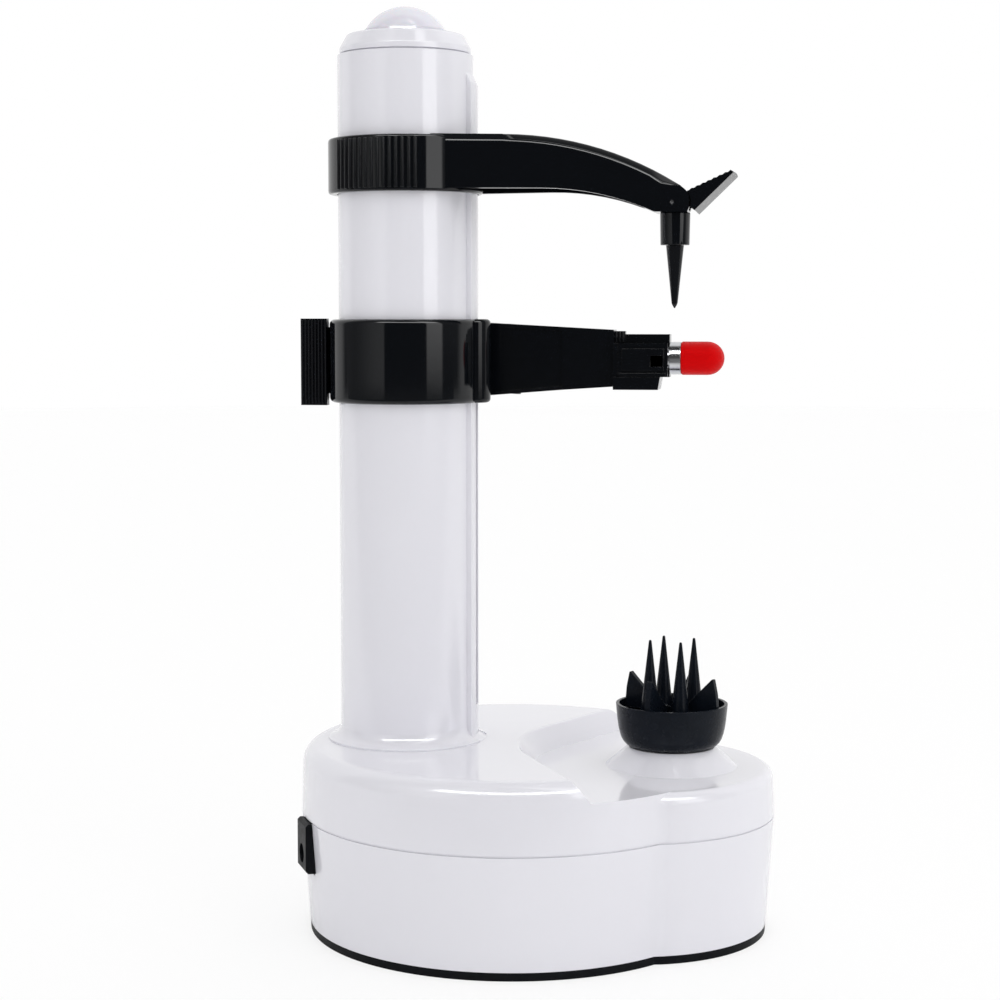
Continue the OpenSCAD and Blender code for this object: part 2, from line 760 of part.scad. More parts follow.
module gearbox_plate() {
    low = gearbox_z - gearbox_t;
    color(gear_white) difference() {
        union() {
            twin_plate(disc_r - 11, lobe_r - 9, low, gearbox_t);
            // Bosses that carry the gears clear of the plate.
            translate([turn_x, 0, low]) cylinder(h = high_gear_z - low - 0.1, r = 6);
            translate([col_x, 0, low]) cylinder(h = high_gear_z - low - 0.1, r = 6);
            translate([idler_pos[0], idler_pos[1], low])
                cylinder(h = high_gear_z - low - 0.1, r = 4);
            translate([compound_pos[0], compound_pos[1], low])
                cylinder(h = gearbox_t + washer_t - 0.1, r = 4);
        }
        translate([turn_x, 0, low - overlap]) cylinder(h = big, r = journal_r + run_fit);
        translate([col_x, 0, low - overlap]) cylinder(h = big, r = journal_r + run_fit);
        for (p = [idler_pos, compound_pos])
            translate([p[0], p[1], low - overlap]) cylinder(h = big, r = axle_r);
        translate([motor_pos[0], motor_pos[1], low - overlap]) {
            cylinder(h = big, r = 3.5);
            for (side = [-1, 1]) translate([side * 6.5, 0, 0])
                cylinder(h = big, r = 1.2, $fn = 32);
        }
        for (p = post_places)
            translate([p[0], p[1], low - overlap]) cylinder(h = big, r = screw_r - 0.2);
    }
}

module gearbox_screws() {
    color(steel_grey) {
        for (p = post_places)
            translate([p[0], p[1], gearbox_z + 1.6]) rotate([180, 0, 0]) {
                cylinder(h = 1.6, r = 2.6, $fn = 32);
                cylinder(h = 1.6 + gearbox_t + 6, r = screw_r - 0.4, $fn = 32);
            }
        for (side = [-1, 1])
            translate([motor_pos[0] + side * 6.5, motor_pos[1], gearbox_z - gearbox_t - 2])
                cylinder(h = 2 + gearbox_t - 0.2, r = 1.1, $fn = 32);
    }
}

module drive_motor() {
    top = gearbox_z - gearbox_t;
    color(steel_grey) translate([motor_pos[0], motor_pos[1], 0]) difference() {
        union() {
            translate([0, 0, top - motor_len]) rotate_extrude()
                polygon(concat([[0, 0], [motor_r - 1, 0], [motor_r, 1]],
                    [[motor_r, motor_len - 1], [motor_r - 1, motor_len], [0, motor_len]]));
            translate([0, 0, top - overlap]) cylinder(h = overlap + 1.8, r = 3.3);
        }
        translate([0, 0, top - 4]) cylinder(h = 10, r = 1.0 + run_fit, $fn = 32);
        for (side = [-1, 1]) translate([side * 6.5, 0, top - 2.2])
            cylinder(h = 10, r = 1.1, $fn = 32);
    }
}

module motor_pinion() {
    color(brass_tone) translate([motor_pos[0], motor_pos[1], 0]) {
        translate([0, 0, low_gear_z]) rotate([0, 0, motor_turn]) gear_wheel(pinion_teeth, gear_t);
        translate([0, 0, gearbox_z - gearbox_t - 3.5])
            cylinder(h = low_gear_z + gear_t - gearbox_z + gearbox_t + 3, r = 1.0, $fn = 32);
    }
}

module gear_axles() {
    low = gearbox_z - gearbox_t;
    color(steel_grey) {
        translate([compound_pos[0], compound_pos[1], low])
            cylinder(h = high_gear_top + 1 - low, r = axle_r);
        translate([idler_pos[0], idler_pos[1], low])
            cylinder(h = high_gear_top + 1 - low, r = axle_r);
    }
}

module compound_gear() {
    color(gear_white) translate([compound_pos[0], compound_pos[1], 0]) difference() {
        union() {
            translate([0, 0, low_gear_z]) rotate([0, 0, small_turn])
                gear_wheel(compound_teeth, gear_t);
            translate([0, 0, low_gear_z + gear_t - overlap]) rotate([0, 0, small_turn])
                gear_wheel(pinion_teeth, high_gear_top - low_gear_z - gear_t + overlap);
        }
        translate([0, 0, low_gear_z - overlap]) cylinder(h = big, r = axle_r + run_fit);
        gear_relief(low_gear_z + gear_t, pitch_r(pinion_teeth) + 3, pitch_r(compound_teeth) - 4);
    }
}

// Shallow ring turned out of a gear's face, which leaves a rim and a hub.
module gear_relief(face, inner, outer) {
    translate([0, 0, face - relief_depth]) difference() {
        cylinder(h = relief_depth + overlap, r = outer);
        translate([0, 0, -overlap]) cylinder(h = 4 * overlap, r = inner);
    }
}

module idler_gear() {
    color(gear_white) translate([idler_pos[0], idler_pos[1], 0]) difference() {
        translate([0, 0, high_gear_z]) rotate([0, 0, idler_turn]) gear_wheel(idler_teeth, gear_t);
        translate([0, 0, high_gear_z - overlap]) cylinder(h = big, r = axle_r + run_fit);
        gear_relief(high_gear_top, 5, pitch_r(idler_teeth) - 4);
    }
}

module turntable_gear() {
    color(gear_white) translate([turn_x, 0, 0]) difference() {
        translate([0, 0, high_gear_z]) rotate([0, 0, turn_turn]) gear_wheel(turn_teeth, gear_t);
        translate([0, 0, high_gear_z - overlap]) cylinder(h = big, r = shaft_r);
        gear_relief(high_gear_top, 9.5, pitch_r(turn_teeth) - 4);
    }
}

module lift_gear() {
    color(gear_white) translate([col_x, 0, 0]) difference() {
        translate([0, 0, high_gear_z]) rotate([0, 0, lift_turn]) gear_wheel(lift_teeth, gear_t);
        translate([0, 0, high_gear_z - overlap]) cylinder(h = big, r = lead_r);
        gear_relief(high_gear_top, 7, pitch_r(lift_teeth) - 4);
    }
}

// ---- Turntable ----

socket_top_z = cup_floor_z - 2.0;

module turntable_shaft() {
    low = gearbox_z - gearbox_t;
    color(steel_grey) translate([turn_x, 0, 0]) {
        translate([0, 0, low]) cylinder(h = high_gear_z - low, r = journal_r);
        translate([0, 0, high_gear_z]) cylinder(h = socket_top_z - high_gear_z, r = shaft_r);
    }
}

module turntable_bush() {
    low = high_gear_top + pass_gap;
    color(brass_tone) translate([turn_x, 0, 0]) difference() {
        translate([0, 0, low]) cylinder(h = pedestal_top_z - low, r = bush_r);
        translate([0, 0, low - overlap])
            cylinder(h = pedestal_top_z - low + 2 * overlap, r = shaft_r + run_fit);
    }
}

// Outer profile of the cup, from its bottom edge up to its rim.
function cup_profile(inset) = [for (p = [[0.77, 0], [0.82, 0.025], [0.865, 0.09], [0.90, 0.17],
        [0.93, 0.29], [0.953, 0.43], [0.972, 0.60], [0.987, 0.80], [1, 1]])
    [p[0] * cup_r - inset, cup_z + p[1] * cup_h]];

module turntable_cup() {
    color(black_plastic) translate([turn_x, 0, 0]) difference() {
        union() {
            difference() {
                rotate_extrude($fn = 96)
                    polygon(concat([[0, cup_z]], cup_profile(0), [[0, cup_rim_z]]));
                // Room above the floor of the cup.
                translate([0, 0, cup_floor_z])
                    cylinder(h = cup_h, r1 = cup_r - cup_wall - 0.5, r2 = cup_r - cup_wall + 1.2,
                        $fn = 96);
                // Room under the floor of the cup.
                translate([0, 0, cup_z - overlap]) difference() {
                    cylinder(h = cup_floor_z - 2 - cup_z + overlap, r1 = 0.74 * cup_r - 2.4,
                        r2 = 0.92 * cup_r - 2.4, $fn = 96);
                    translate([0, 0, -overlap]) cylinder(h = cup_h, r = hub_r);
                }
            }
            for (i = [0:prong_count - 1]) rotate([0, 0, prong_turn + 360 * i / prong_count]) {
                translate([prong_ring, 0, cup_floor_z - overlap / 2]) prong();
                rotate([0, 0, fin_turn]) fin();
            }
        }
        translate([0, 0, cup_z - overlap])
            cylinder(h = socket_top_z - cup_z + overlap, r = shaft_r);
    }
}

module prong() {
    height = cup_depth + prong_h + overlap / 2;
    tip = 0.45;
    rotate_extrude($fn = 32)
        polygon(concat([[0, 0], [prong_r, 0]], arc_points([0, height - tip], tip, 10, 90, 4)));
}

module fin() {
    low = cup_floor_z - overlap / 2;
    translate([0, fin_t / 2, 0]) rotate([90, 0, 0]) linear_extrude(fin_t)
        polygon([[fin_t, low], [fin_t, cup_rim_z - 0.9], [cup_r * 0.34, cup_rim_z + 0.3],
            [cup_r * 0.55, cup_rim_z + fin_h * 0.46], [cup_r * 0.82, cup_rim_z + fin_h - 0.1],
            [cup_r * 0.845, cup_rim_z + fin_h - 0.3], [cup_r * 0.90, cup_rim_z + fin_h * 0.45],
            [cup_r - cup_wall - 0.45, cup_rim_z - 0.4], [cup_r - cup_wall - 0.6, low]]);
}

// ---- Column ----

module column_tube() {
    color(white_shell) translate([col_x, 0, 0]) difference() {
        union() {
            rotate_extrude($fn = 160)
                polygon(concat([[col_in_r, deck_z], [col_foot_r, deck_z], [col_foot_r, deck_z + 0.5]],
                    arc_points([col_foot_r + 0.2, deck_z + col_foot_h], col_foot_r + 0.2 - col_r,
                        262, 180, 6),
                    [[col_r, deck_z + col_foot_h], [col_r, col_top_z], [col_in_r, col_top_z]]));
            // Foot flange that takes the screws from below the deck.
            translate([0, 0, deck_z]) difference() {
                cylinder(h = foot_flange_t, r = col_in_r + overlap / 2);
                translate([0, 0, -overlap]) cylinder(h = big, r = foot_bore_r);
            }
            for (a = [90, 180, 270]) rotate([0, 0, a]) translate([col_screw_ring, 0, deck_z])
                cylinder(h = 9, r = 2.6);
            // Ledge under the bearing plate.
            translate([0, 0, top_plate_z - ledge_t]) difference() {
                cylinder(h = ledge_t, r = col_in_r + overlap / 2);
                translate([0, 0, -overlap]) cylinder(h = big, r = col_in_r - 2.5);
            }
        }
        // Opening at the front that the guide rail fills.
        translate([0, -rail_half - 0.1, deck_z - overlap])
            cube([big, 2 * rail_half + 0.2, rail_top_z + 0.1 - deck_z + overlap]);
        for (a = [90, 180, 270]) rotate([0, 0, a]) translate([col_screw_ring, 0, deck_z - overlap])
            cylinder(h = 8 + overlap, r = screw_r);
    }
}

module guide_rail() {
    color(white_shell) translate([col_x, 0, 0]) difference() {
        intersection() {
            difference() {
                union() {
                    translate([0, 0, deck_z]) cylinder(h = rail_top_z - rail_ramp - deck_z, r = rail_r,
                        $fn = 160);
                    translate([0, 0, rail_top_z - rail_ramp])
                        cylinder(h = rail_ramp, r1 = rail_r, r2 = col_r, $fn = 160);
                    translate([0, 0, deck_z]) cylinder(h = 1.5, r1 = col_foot_r, r2 = rail_r, $fn = 160);
                }
                translate([0, 0, deck_z - overlap]) cylinder(h = big + deck_z, r = col_in_r, $fn = 160);
            }
            translate([0, -rail_half, deck_z])
                cube([big, 2 * rail_half, rail_top_z - deck_z]);
        }
        translate([0, -slot_half, slot_low_z])
            cube([big, 2 * slot_half, slot_high_z - slot_low_z]);
    }
}

module column_screws() {
    color(steel_grey)
        for (a = [90, 180, 270]) column_screw_place(a)
            translate([0, 0, deck_under - 2]) pan_screw(shell_wall + 7, screw_r, screw_head_r);
}

module lead_screw() {
    low = gearbox_z - gearbox_t;
    color(steel_grey) translate([col_x, 0, 0]) {
        translate([0, 0, low]) cylinder(h = high_gear_z - low, r = journal_r);
        rotate_extrude() polygon(concat([[0, high_gear_z], [lead_r, high_gear_z]],
            [for (i = [0:floor((slot_high_z - slot_low_z) / thread_pitch)])
                let (z = slot_low_z + i * thread_pitch) for (p = [[0, 0], [1, 0.15], [1, 0.5], [0, 0.65]])
                [lead_r - p[0] * thread_depth, z + p[1] * thread_pitch]],
            [[lead_r, top_plate_z - pass_gap], [0, top_plate_z - pass_gap]]));
        translate([0, 0, top_plate_z - pass_gap])
            cylinder(h = bearing_t + pass_gap - 0.4, r = journal_r);
    }
}

module top_plate() {
    color(gear_white) translate([col_x, 0, 0]) difference() {
        translate([0, 0, top_plate_z]) cylinder(h = bearing_t, r = col_in_r - 0.1);
        translate([0, 0, top_plate_z - overlap])
            cylinder(h = bearing_t - 0.3 + overlap, r = journal_r + run_fit);
    }
}

module start_switch() {
    color(black_plastic) translate([col_x, 0, switch_z]) {
        translate([-switch_l / 2, -switch_w / 2, 0]) cube([switch_l, switch_w, switch_h]);
        translate([0, 0, switch_h]) cylinder(h = switch_key_h, r = 1.2, $fn = 32);
    }
}

module button_spring() {
    low = switch_z + spring_wire_r;
    color(steel_grey) translate([col_x, 0, low])
        coil(button_coil_r, spring_wire_r, button_lip_z - spring_wire_r - low, 4);
}

module column_cap() {
    bevel = 1.6;
    color(white_shell) translate([col_x, 0, 0]) difference() {
        union() {
            rotate_extrude($fn = 160)
                polygon(concat([[0, col_top_z], [cap_r - 0.4, col_top_z], [cap_r - 0.4, col_top_z + 0.4],
                    [cap_r + 0.6, col_top_z + 0.4], [cap_r + 0.2, cap_top_z - 3.2]],
                    arc_points([cap_r - 1.4, cap_top_z - 3.4], 1.6, 0, 60, 4),
                    [[cap_r - bevel - 0.4, cap_top_z - 0.4], [cap_r - bevel - 1.2, cap_top_z],
                    [0, cap_top_z]]));
            translate([0, 0, cap_spigot_z + pass_gap])
                cylinder(h = col_top_z - cap_spigot_z, r = col_in_r - 0.1);
        }
        translate([0, 0, cap_spigot_z - overlap])
            cylinder(h = col_top_z - cap_spigot_z + overlap, r = col_in_r - spigot_t);
        translate([0, 0, col_top_z - overlap])
            cylinder(h = button_lip_z + button_lip_t - col_top_z + overlap, r = button_lip_r + slide_fit);
        translate([0, 0, col_top_z]) cylinder(h = big, r = dome_bore_r, $fn = 96);
    }
}

module start_button() {
    ball_r = (pow(dome_r, 2) + pow(dome_h, 2)) / (2 * dome_h);
    rim = 0.6;
    color([0.86, 0.87, 0.9]) translate([col_x, 0, 0]) difference() {
        union() {
            translate([0, 0, button_lip_z]) cylinder(h = button_lip_t, r = button_lip_r);
            translate([0, 0, button_lip_z])
                cylinder(h = cap_top_z + rim - button_lip_z, r = dome_r, $fn = 96);
            translate([0, 0, rim]) intersection() {
                translate([0, 0, cap_top_z + dome_h - rim - ball_r]) sphere(r = ball_r, $fn = 96);
                translate([0, 0, cap_top_z - overlap / 2]) cylinder(h = big, r = dome_r, $fn = 96);
            }
            translate([0, 0, plunger_z])
                cylinder(h = cap_top_z - plunger_z, r = plunger_r);
        }
        // Hollow inside of the dome.
        translate([0, 0, button_lip_z - overlap]) difference() {
            cylinder(h = cap_top_z - button_lip_z, r = dome_r - 1.8);
            cylinder(h = big, r = plunger_r);
        }
    }
}

// ---- Food arm ----

// Side view of the food arm: flat over the collar, then drooping in an arc.
function droop_radius(run, fall) = (run * run + fall * fall) / (2 * fall);
arm_run = nose_x - col_x - arm_flat;
arm_bow = droop_radius(arm_run, arm_droop);
under_fall = arm_under_z - nose_z;
under_run = nose_x - col_x - 10.5 - arm_under_flat;
under_bow = droop_radius(under_run, under_fall);
function arm_side(wall) = concat(
    [[col_x, arm_under_z + (wall > 0 ? -overlap : 0)]],
    wall > 0 ? [[nose_x - 14, nose_z - overlap]] :
        concat(arc_points([col_x + arm_under_flat, arm_under_z - under_bow], under_bow, 90,
            90 - asin(under_run / under_bow), 8), [[nose_x, nose_z]]),
    [for (p = arc_points([col_x + arm_flat, arm_top_z - arm_bow], arm_bow - wall,
        90 - asin((arm_run - (wall > 0 ? 14 : 0)) / arm_bow), 90, 14)) p],
    [[col_x, arm_top_z - wall]]);

// Plan of the food arm, which tapers from the collar to the nose.
module arm_plan(inset) {
    polygon([[col_x, -arm_root_half + inset], [col_x + 16, -arm_root_half + inset],
        [nose_x, -arm_nose_half + inset], [nose_x, arm_nose_half - inset],
        [col_x + 16, arm_root_half - inset], [col_x, arm_root_half - inset]]);
}

module arm_form(wall) {
    intersection() {
        translate([0, 0, nose_z - 2 * overlap]) linear_extrude(arm_top_z - nose_z + 4 * overlap)
            arm_plan(wall);
        translate([0, big / 2, 0]) rotate([90, 0, 0]) linear_extrude(big) polygon(arm_side(wall));
    }
}

// What is cut from the nose so that it is round about the lever's pin.
module nose_end() {
    difference() {
        translate([lever_pin_x + nose_round_r / 2, -big / 2, nose_z - overlap])
            cube([big, big, 2 * nose_round_r]);
        translate([lever_pin_x, -big / 2, lever_pin_z]) rotate([-90, 0, 0])
            cylinder(h = big, r = nose_round_r);
    }
}

module food_arm() {
    grip_step = 65 / (grip_count - 1);
    color(black_plastic) difference() {
        union() {
            translate([col_x, 0, 0]) rotate_extrude($fn = 128)
                polygon(concat([[0, food_z]],
                    arc_points([food_r - 0.8, food_z + 0.8], 0.8, -90, 0, 3),
                    arc_points([food_r - 0.8, food_top_z - 0.8], 0.8, 0, 90, 3), [[0, food_top_z]]));
            for (side = [-1, 1], i = [0:grip_count - 1])
                translate([col_x, 0, food_z + 1])
                    rotate([0, 0, side * (72 + i * grip_step)]) translate([food_r - 0.1, 0, 0])
                        cylinder(h = food_h - 2, r = grip_r, $fn = 16);
            difference() {
                arm_form(0);
                difference() {
                    arm_form(arm_wall);
                    translate([col_x, 0, 0]) cylinder(h = 2 * big, r = food_r - 0.5);
                }
                nose_end();
            }
        }
        translate([col_x, 0, 0]) collar_bore(nose_z - overlap, arm_top_z - nose_z + 2 * overlap);
        // Slot in the nose for the neck of the thumb lever.
        translate([lever_pin_x - lever_knuckle_r - pass_gap, -lever_slot_half,
            lever_pin_z - lever_knuckle_r - 0.2])
            cube([big, 2 * lever_slot_half, lever_knuckle_r + neck_top + pass_gap + 0.2]);
        translate([lever_pin_x, -big / 2, lever_pin_z]) rotate([-90, 0, 0])
            cylinder(h = big, r = lever_pin_r, $fn = 32);
        // Seat of the spike cup.
        translate([turn_x, 0, nose_z - overlap])
            cylinder(h = spigot_h + overlap, r = spike_cup_r - 1.2);
    }
}

module spike_cup() {
    color(black_plastic) translate([turn_x, 0, 0]) difference() {
        union() {
            translate([0, 0, spike_cup_z]) cylinder(h = spike_cup_h, r1 = spike_cup_r - 0.1,
                r2 = spike_cup_r + 0.1);
            translate([0, 0, spike_cup_top]) cylinder(h = spigot_h, r = spike_cup_r - 1.2);
        }
        translate([0, 0, spike_cup_z - overlap])
            cylinder(h = spike_shank_l + overlap + 0.3, r = spike_shank_r + run_fit);
    }
}

module spike() {
    tip = 0.35;
    gap = 0.3;
    color(black_plastic) translate([turn_x, 0, spike_cup_z]) {
        rotate_extrude($fn = 48) polygon(concat([[0, -gap], [spike_r, -gap]],
            [for (p = arc_points([0, spike_len - tip], tip, 5, 90, 4)) [p[0], -p[1]]]));
        translate([0, 0, -gap - overlap / 2]) cylinder(h = spike_shank_l + gap + overlap / 2,
            r = spike_shank_r);
    }
}

module lever_pin() {
    color(steel_grey) translate([lever_pin_x, -arm_nose_half - 0.4, lever_pin_z]) rotate([-90, 0, 0])
        cylinder(h = 2 * arm_nose_half + 0.8, r = lever_pin_r, $fn = 32);
}

module lever_spring() {
    coil_r = lever_pin_r + 0.6;
    wire = 0.25;
    color(steel_grey) translate([lever_pin_x, 1.6, lever_pin_z]) rotate([-90, 0, 0])
        coil(coil_r, wire, 1.1, 2);
}

// Thumb lever: a knuckle on the pin and a stepped, wedge-shaped thumb piece.
lever_heel = [nose_x - 1, nose_z + 6.4];
lever_foot = [nose_x + 2.6, nose_z - 0.2];
lever_tip = [nose_x, nose_z] + lever_len * [cos(lever_slope + 14), sin(lever_slope + 14)];
lever_brow = lever_tip + [-2.0, 1.2];
neck_top = 3.5;
neck_low = 1.3;
function lever_stair() = [for (i = [lever_steps:-1:1], k = [0, 1])
    let (a = (i - k) / lever_steps, p = lever_heel + (lever_brow - lever_heel) * a)
        k == 0 ? p : p + [0.9, 0.1]];

module thumb_lever() {
    under = lever_tip - lever_foot;
    color(black_plastic) difference() {
        union() {
            difference() {
                intersection() {
                    translate([0, lever_w / 2, 0]) rotate([90, 0, 0]) linear_extrude(lever_w)
                        polygon(concat([[nose_x - 1, nose_z + 1.8], [nose_x + 1, nose_z + 1.0],
                            lever_foot, lever_tip], lever_stair(), [lever_heel]));
                    // Crowned underside.
                    translate([lever_foot[0], 0, lever_foot[1]])
                        rotate([0, -atan2(under[1], under[0]), 0])
                            translate([-lever_len, 0, lever_crown_r]) rotate([0, 90, 0])
                                cylinder(h = 3 * lever_len, r = lever_crown_r, $fn = 128);
                }
                // Hollow back that turns round the nose.
                translate([lever_pin_x, -big / 2, lever_pin_z]) rotate([-90, 0, 0])
                    cylinder(h = big, r = lever_back_r);
            }
            translate([lever_pin_x, -lever_neck_half, lever_pin_z]) {
                rotate([-90, 0, 0]) cylinder(h = 2 * lever_neck_half, r = lever_knuckle_r - 0.1);
                translate([0, 0, -neck_low])
                    cube([lever_back_r + 0.8, 2 * lever_neck_half, neck_top + neck_low]);
            }
        }
        translate([lever_pin_x, -big / 2, lever_pin_z]) rotate([-90, 0, 0])
            cylinder(h = big, r = lever_pin_r + run_fit, $fn = 32);
        // Pocket beside the pin that takes the spring.
        translate([lever_pin_x, 1.0, lever_pin_z]) rotate([-90, 0, 0])
            cylinder(h = 2.2 + overlap, r = lever_pin_r + 1.0, $fn = 32);
    }
}

// ---- Peel carriage ----

module collar_ring(low, high, radius, fillet) {
    rotate_extrude($fn = 128)
        polygon(concat([[0, low]], arc_points([radius - fillet, low + fillet], fillet, -90, 0, 4),
            arc_points([radius - fillet, high - fillet], fillet, 0, 90, 4), [[0, high]]));
}

module collar_bore(low, height) {
    translate([0, 0, low]) {
        cylinder(h = height, r = collar_bore_r, $fn = 128);
        intersection() {
            cylinder(h = height, r = notch_r, $fn = 128);
            translate([0, -notch_half, -overlap]) cube([big, 2 * notch_half, height + 2 * overlap]);
        }
    }
}

module peel_collar() {
    lug_dir = atan2(peel_r * sin(46) - pivot[1], peel_r * cos(46) - pivot_x);
    color(black_plastic) difference() {
        union() {
            translate([col_x, 0, 0]) collar_ring(peel_z, peel_top_z, peel_r, peel_fillet);
            // Upright flange at the front edge of the collar.
            translate([col_x + peel_r - 2, -4, peel_z + 0.8]) cube([4.2, 8, peel_h - 1.6]);
            // Lug that carries the arm's pivot.
            translate([pivot[0], pivot[1], peel_mid_z - lug_half_h]) {
                cylinder(h = 2 * lug_half_h, r = lug_r);
                rotate([0, 0, lug_dir]) translate([pin_r + 0.7, -2.4, 0])
                    cube([14 - pin_r - 0.7, 4.8, 2 * lug_half_h]);
            }
            // Rear boss that carries the thumb tab.
            translate([tab_pivot[0] - 3.4, tab_back_y + 1.0, peel_z + peel_fillet + 0.2])
                cube([7.4, tab_pivot[1] + 3.6 - tab_back_y, peel_h - 2 * peel_fillet - 0.4]);
        }
        translate([col_x, 0, 0]) collar_bore(peel_z - overlap, peel_h + 2 * overlap);
        translate([pivot[0], pivot[1], peel_mid_z - lug_half_h - overlap])
            cylinder(h = 2 * lug_half_h + 2 * overlap, r = pin_r);
        // Room for the knuckle of the tab.
        translate([tab_pivot[0], tab_pivot[1], peel_mid_z - tab_room_h / 2]) {
            cylinder(h = tab_room_h, r = tab_knuckle_r + slide_fit);
            translate([-2.1 - slide_fit, -big, 0]) cube([4.2 + 2 * slide_fit, big, tab_room_h]);
        }
        translate([tab_pivot[0], tab_pivot[1], peel_z - overlap])
            cylinder(h = peel_h + 2 * overlap, r = 1.0, $fn = 32);
        // Dovetail that the key of the half nut enters.
        translate([col_x + notch_r - overlap, -key_half, nut_z])
            cube([peel_r - notch_r + overlap + 1, 2 * key_half, nut_h]);
    }
}

module half_nut() {
    color(gear_white) translate([col_x, 0, 0]) difference() {
        union() {
            translate([0, 0, nut_z]) cylinder(h = nut_h, r = nut_r);
            translate([0, -key_half, nut_z]) cube([peel_r + 1, 2 * key_half, nut_h]);
        }
        translate([0, 0, nut_z - overlap]) cylinder(h = nut_h + 2 * overlap, r = lead_r + run_fit);
        translate([-nut_r - overlap, -nut_r - overlap, nut_z - overlap])
            cube([nut_r - 1, 2 * nut_r + 2 * overlap, nut_h + 2 * overlap]);
    }
}

module tab_pin() {
    color(steel_grey) translate([tab_pivot[0], tab_pivot[1], peel_z + 0.2])
        cylinder(h = peel_h - 0.4, r = 1.0, $fn = 32);
}

module release_tab() {
    rib_pitch = tab_len / (tab_ribs + 0.3);
    neck_h = tab_room_h - 2 * slide_fit;
    neck_z = peel_mid_z - neck_h / 2;
    color(black_plastic) difference() {
        union() {
            translate([tab_tip_x, tab_front_y, peel_z]) cube([tab_root_x - tab_tip_x, tab_plate_t, peel_h]);
            for (i = [0:tab_ribs - 1])
                translate([tab_tip_x + (i + 0.5) * rib_pitch, tab_front_y, peel_z + 0.4])
                    cylinder(h = peel_h - 0.8, r = 0.38, $fn = 16);
            translate([tab_pivot[0], tab_pivot[1], neck_z]) {
                cylinder(h = neck_h, r = tab_knuckle_r);
                translate([-1.0, tab_back_y - tab_pivot[1] - 0.5, 0])
                    cube([3.1, tab_pivot[1] - tab_back_y + 0.5, neck_h]);
            }
        }
        translate([tab_pivot[0], tab_pivot[1], neck_z - overlap])
            cylinder(h = neck_h + 2 * overlap, r = 1.0 + run_fit, $fn = 32);
    }
}

module arm_pin() {
    color(steel_grey) translate([pivot[0], pivot[1], arm_low_z + 1.0])
        cylinder(h = arm_high_z - arm_low_z - 2.0, r = pin_r);
}

module arm_spring() {
    low = peel_mid_z + lug_half_h + 0.5;
    color(steel_grey) translate([pivot[0], pivot[1], low])
        coil(pin_r + 0.8, 0.3, 1.6, 2);
}

// Side view of the peel arm, which tapers towards the blade holder.
module arm_taper(inset) {
    knee_z = arm_low_z + (arm_end_low_z - arm_low_z) * knee_run / (arm_end_x - arm_back_x) + knee_lift;
    polygon([[arm_back_x + inset, arm_low_z + inset], [arm_back_x + knee_run, knee_z + inset],
        [arm_end_x - inset, arm_end_low_z + inset],
        [arm_end_x - inset, arm_end_high_z - inset],
        [arm_back_x + inset, arm_high_z - inset - 0.4]]);
}

module across(from, thick) {
    translate([0, from + thick, 0]) rotate([90, 0, 0]) linear_extrude(thick) children();
}

module peel_arm() {
    color(black_plastic) difference() {
        union() {
            difference() {
                across(arm_near_y, peel_arm_t) arm_taper(0);
                // Hollow of the arm, open at the far side.
                across(arm_near_y + peel_arm_wall, peel_arm_t)
                    intersection() {
                        arm_taper(peel_arm_wall);
                        translate([arm_back_x, 0]) square([peel_arm_end * 2, 2 * big]);
                    }
                // The hollow runs out at the collar so that the lug can enter.
                translate([arm_back_x - overlap, arm_near_y + peel_arm_wall,
                    peel_mid_z - lug_half_h - slide_fit])
                    cube([knee_run / 2, peel_arm_t, 2 * (lug_half_h + slide_fit)]);
            }
            // Bosses round the pin, above and below the lug.
            for (side = [0, 1])
                translate([pivot[0], pivot[1], side == 0 ? arm_low_z + 1.2 :
                    peel_mid_z + lug_half_h + 2.9])
                    cylinder(h = side == 0 ? peel_mid_z - lug_half_h - slide_fit - arm_low_z - 1.2 :
                        arm_high_z - 1.4 - peel_mid_z - lug_half_h - 2.9, r = lug_r);
        }
        translate([pivot[0], pivot[1], arm_low_z]) cylinder(h = big, r = pin_r + run_fit);
        // Shallow panel on the near face.
        across(arm_near_y - overlap, overlap + 0.7) intersection() {
            arm_taper(1.2);
            translate([arm_back_x - overlap, 0]) square([knee_run + overlap, 2 * big]);
        }
    }
}

module blade_holder() {
    color(black_plastic) difference() {
        union() {
            // Upright back of the holder.
            translate([holder_x, cartridge_back_y, blade_z - 6.0])
                cube([holder_len, holder_back_y - cartridge_back_y, 13.6]);
            // Ribbed shoulder beside the arm.
            translate([holder_x, cartridge_back_y - 2.2, blade_z + 4.9]) cube([3.6, 3.4, 3.7]);
            for (i = [0:2]) translate([holder_x + 0.7 + i * 1.1, cartridge_back_y - 2.2, blade_z + 5.1])
                cylinder(h = 3.3, r = 0.4, $fn = 16);
            // Tray under the cartridge.
            across(cartridge_front_y - 0.4, holder_back_y - cartridge_front_y + 0.4)
                polygon([[holder_x, blade_z - 9.9], [holder_x + 14.2, blade_z - 9.9],
                    [holder_x + 14.9, blade_z - 5.9], [holder_x, blade_z - 5.9]]);
            // Front wall against the arm.
            translate([holder_x, cartridge_front_y + 0.8, blade_z - 6.5])
                cube([1.4, cartridge_back_y - cartridge_front_y, 11.3]);
        }
        tail_bore();
    }
}

// Bore for the tail of the blade, shared by the holder and the cartridge.
module tail_bore() {
    translate([tail_x - 0.3, sleeve_y, blade_z]) rotate([0, 90, 0])
        cylinder(h = big, r = tail_r + 0.1);
}

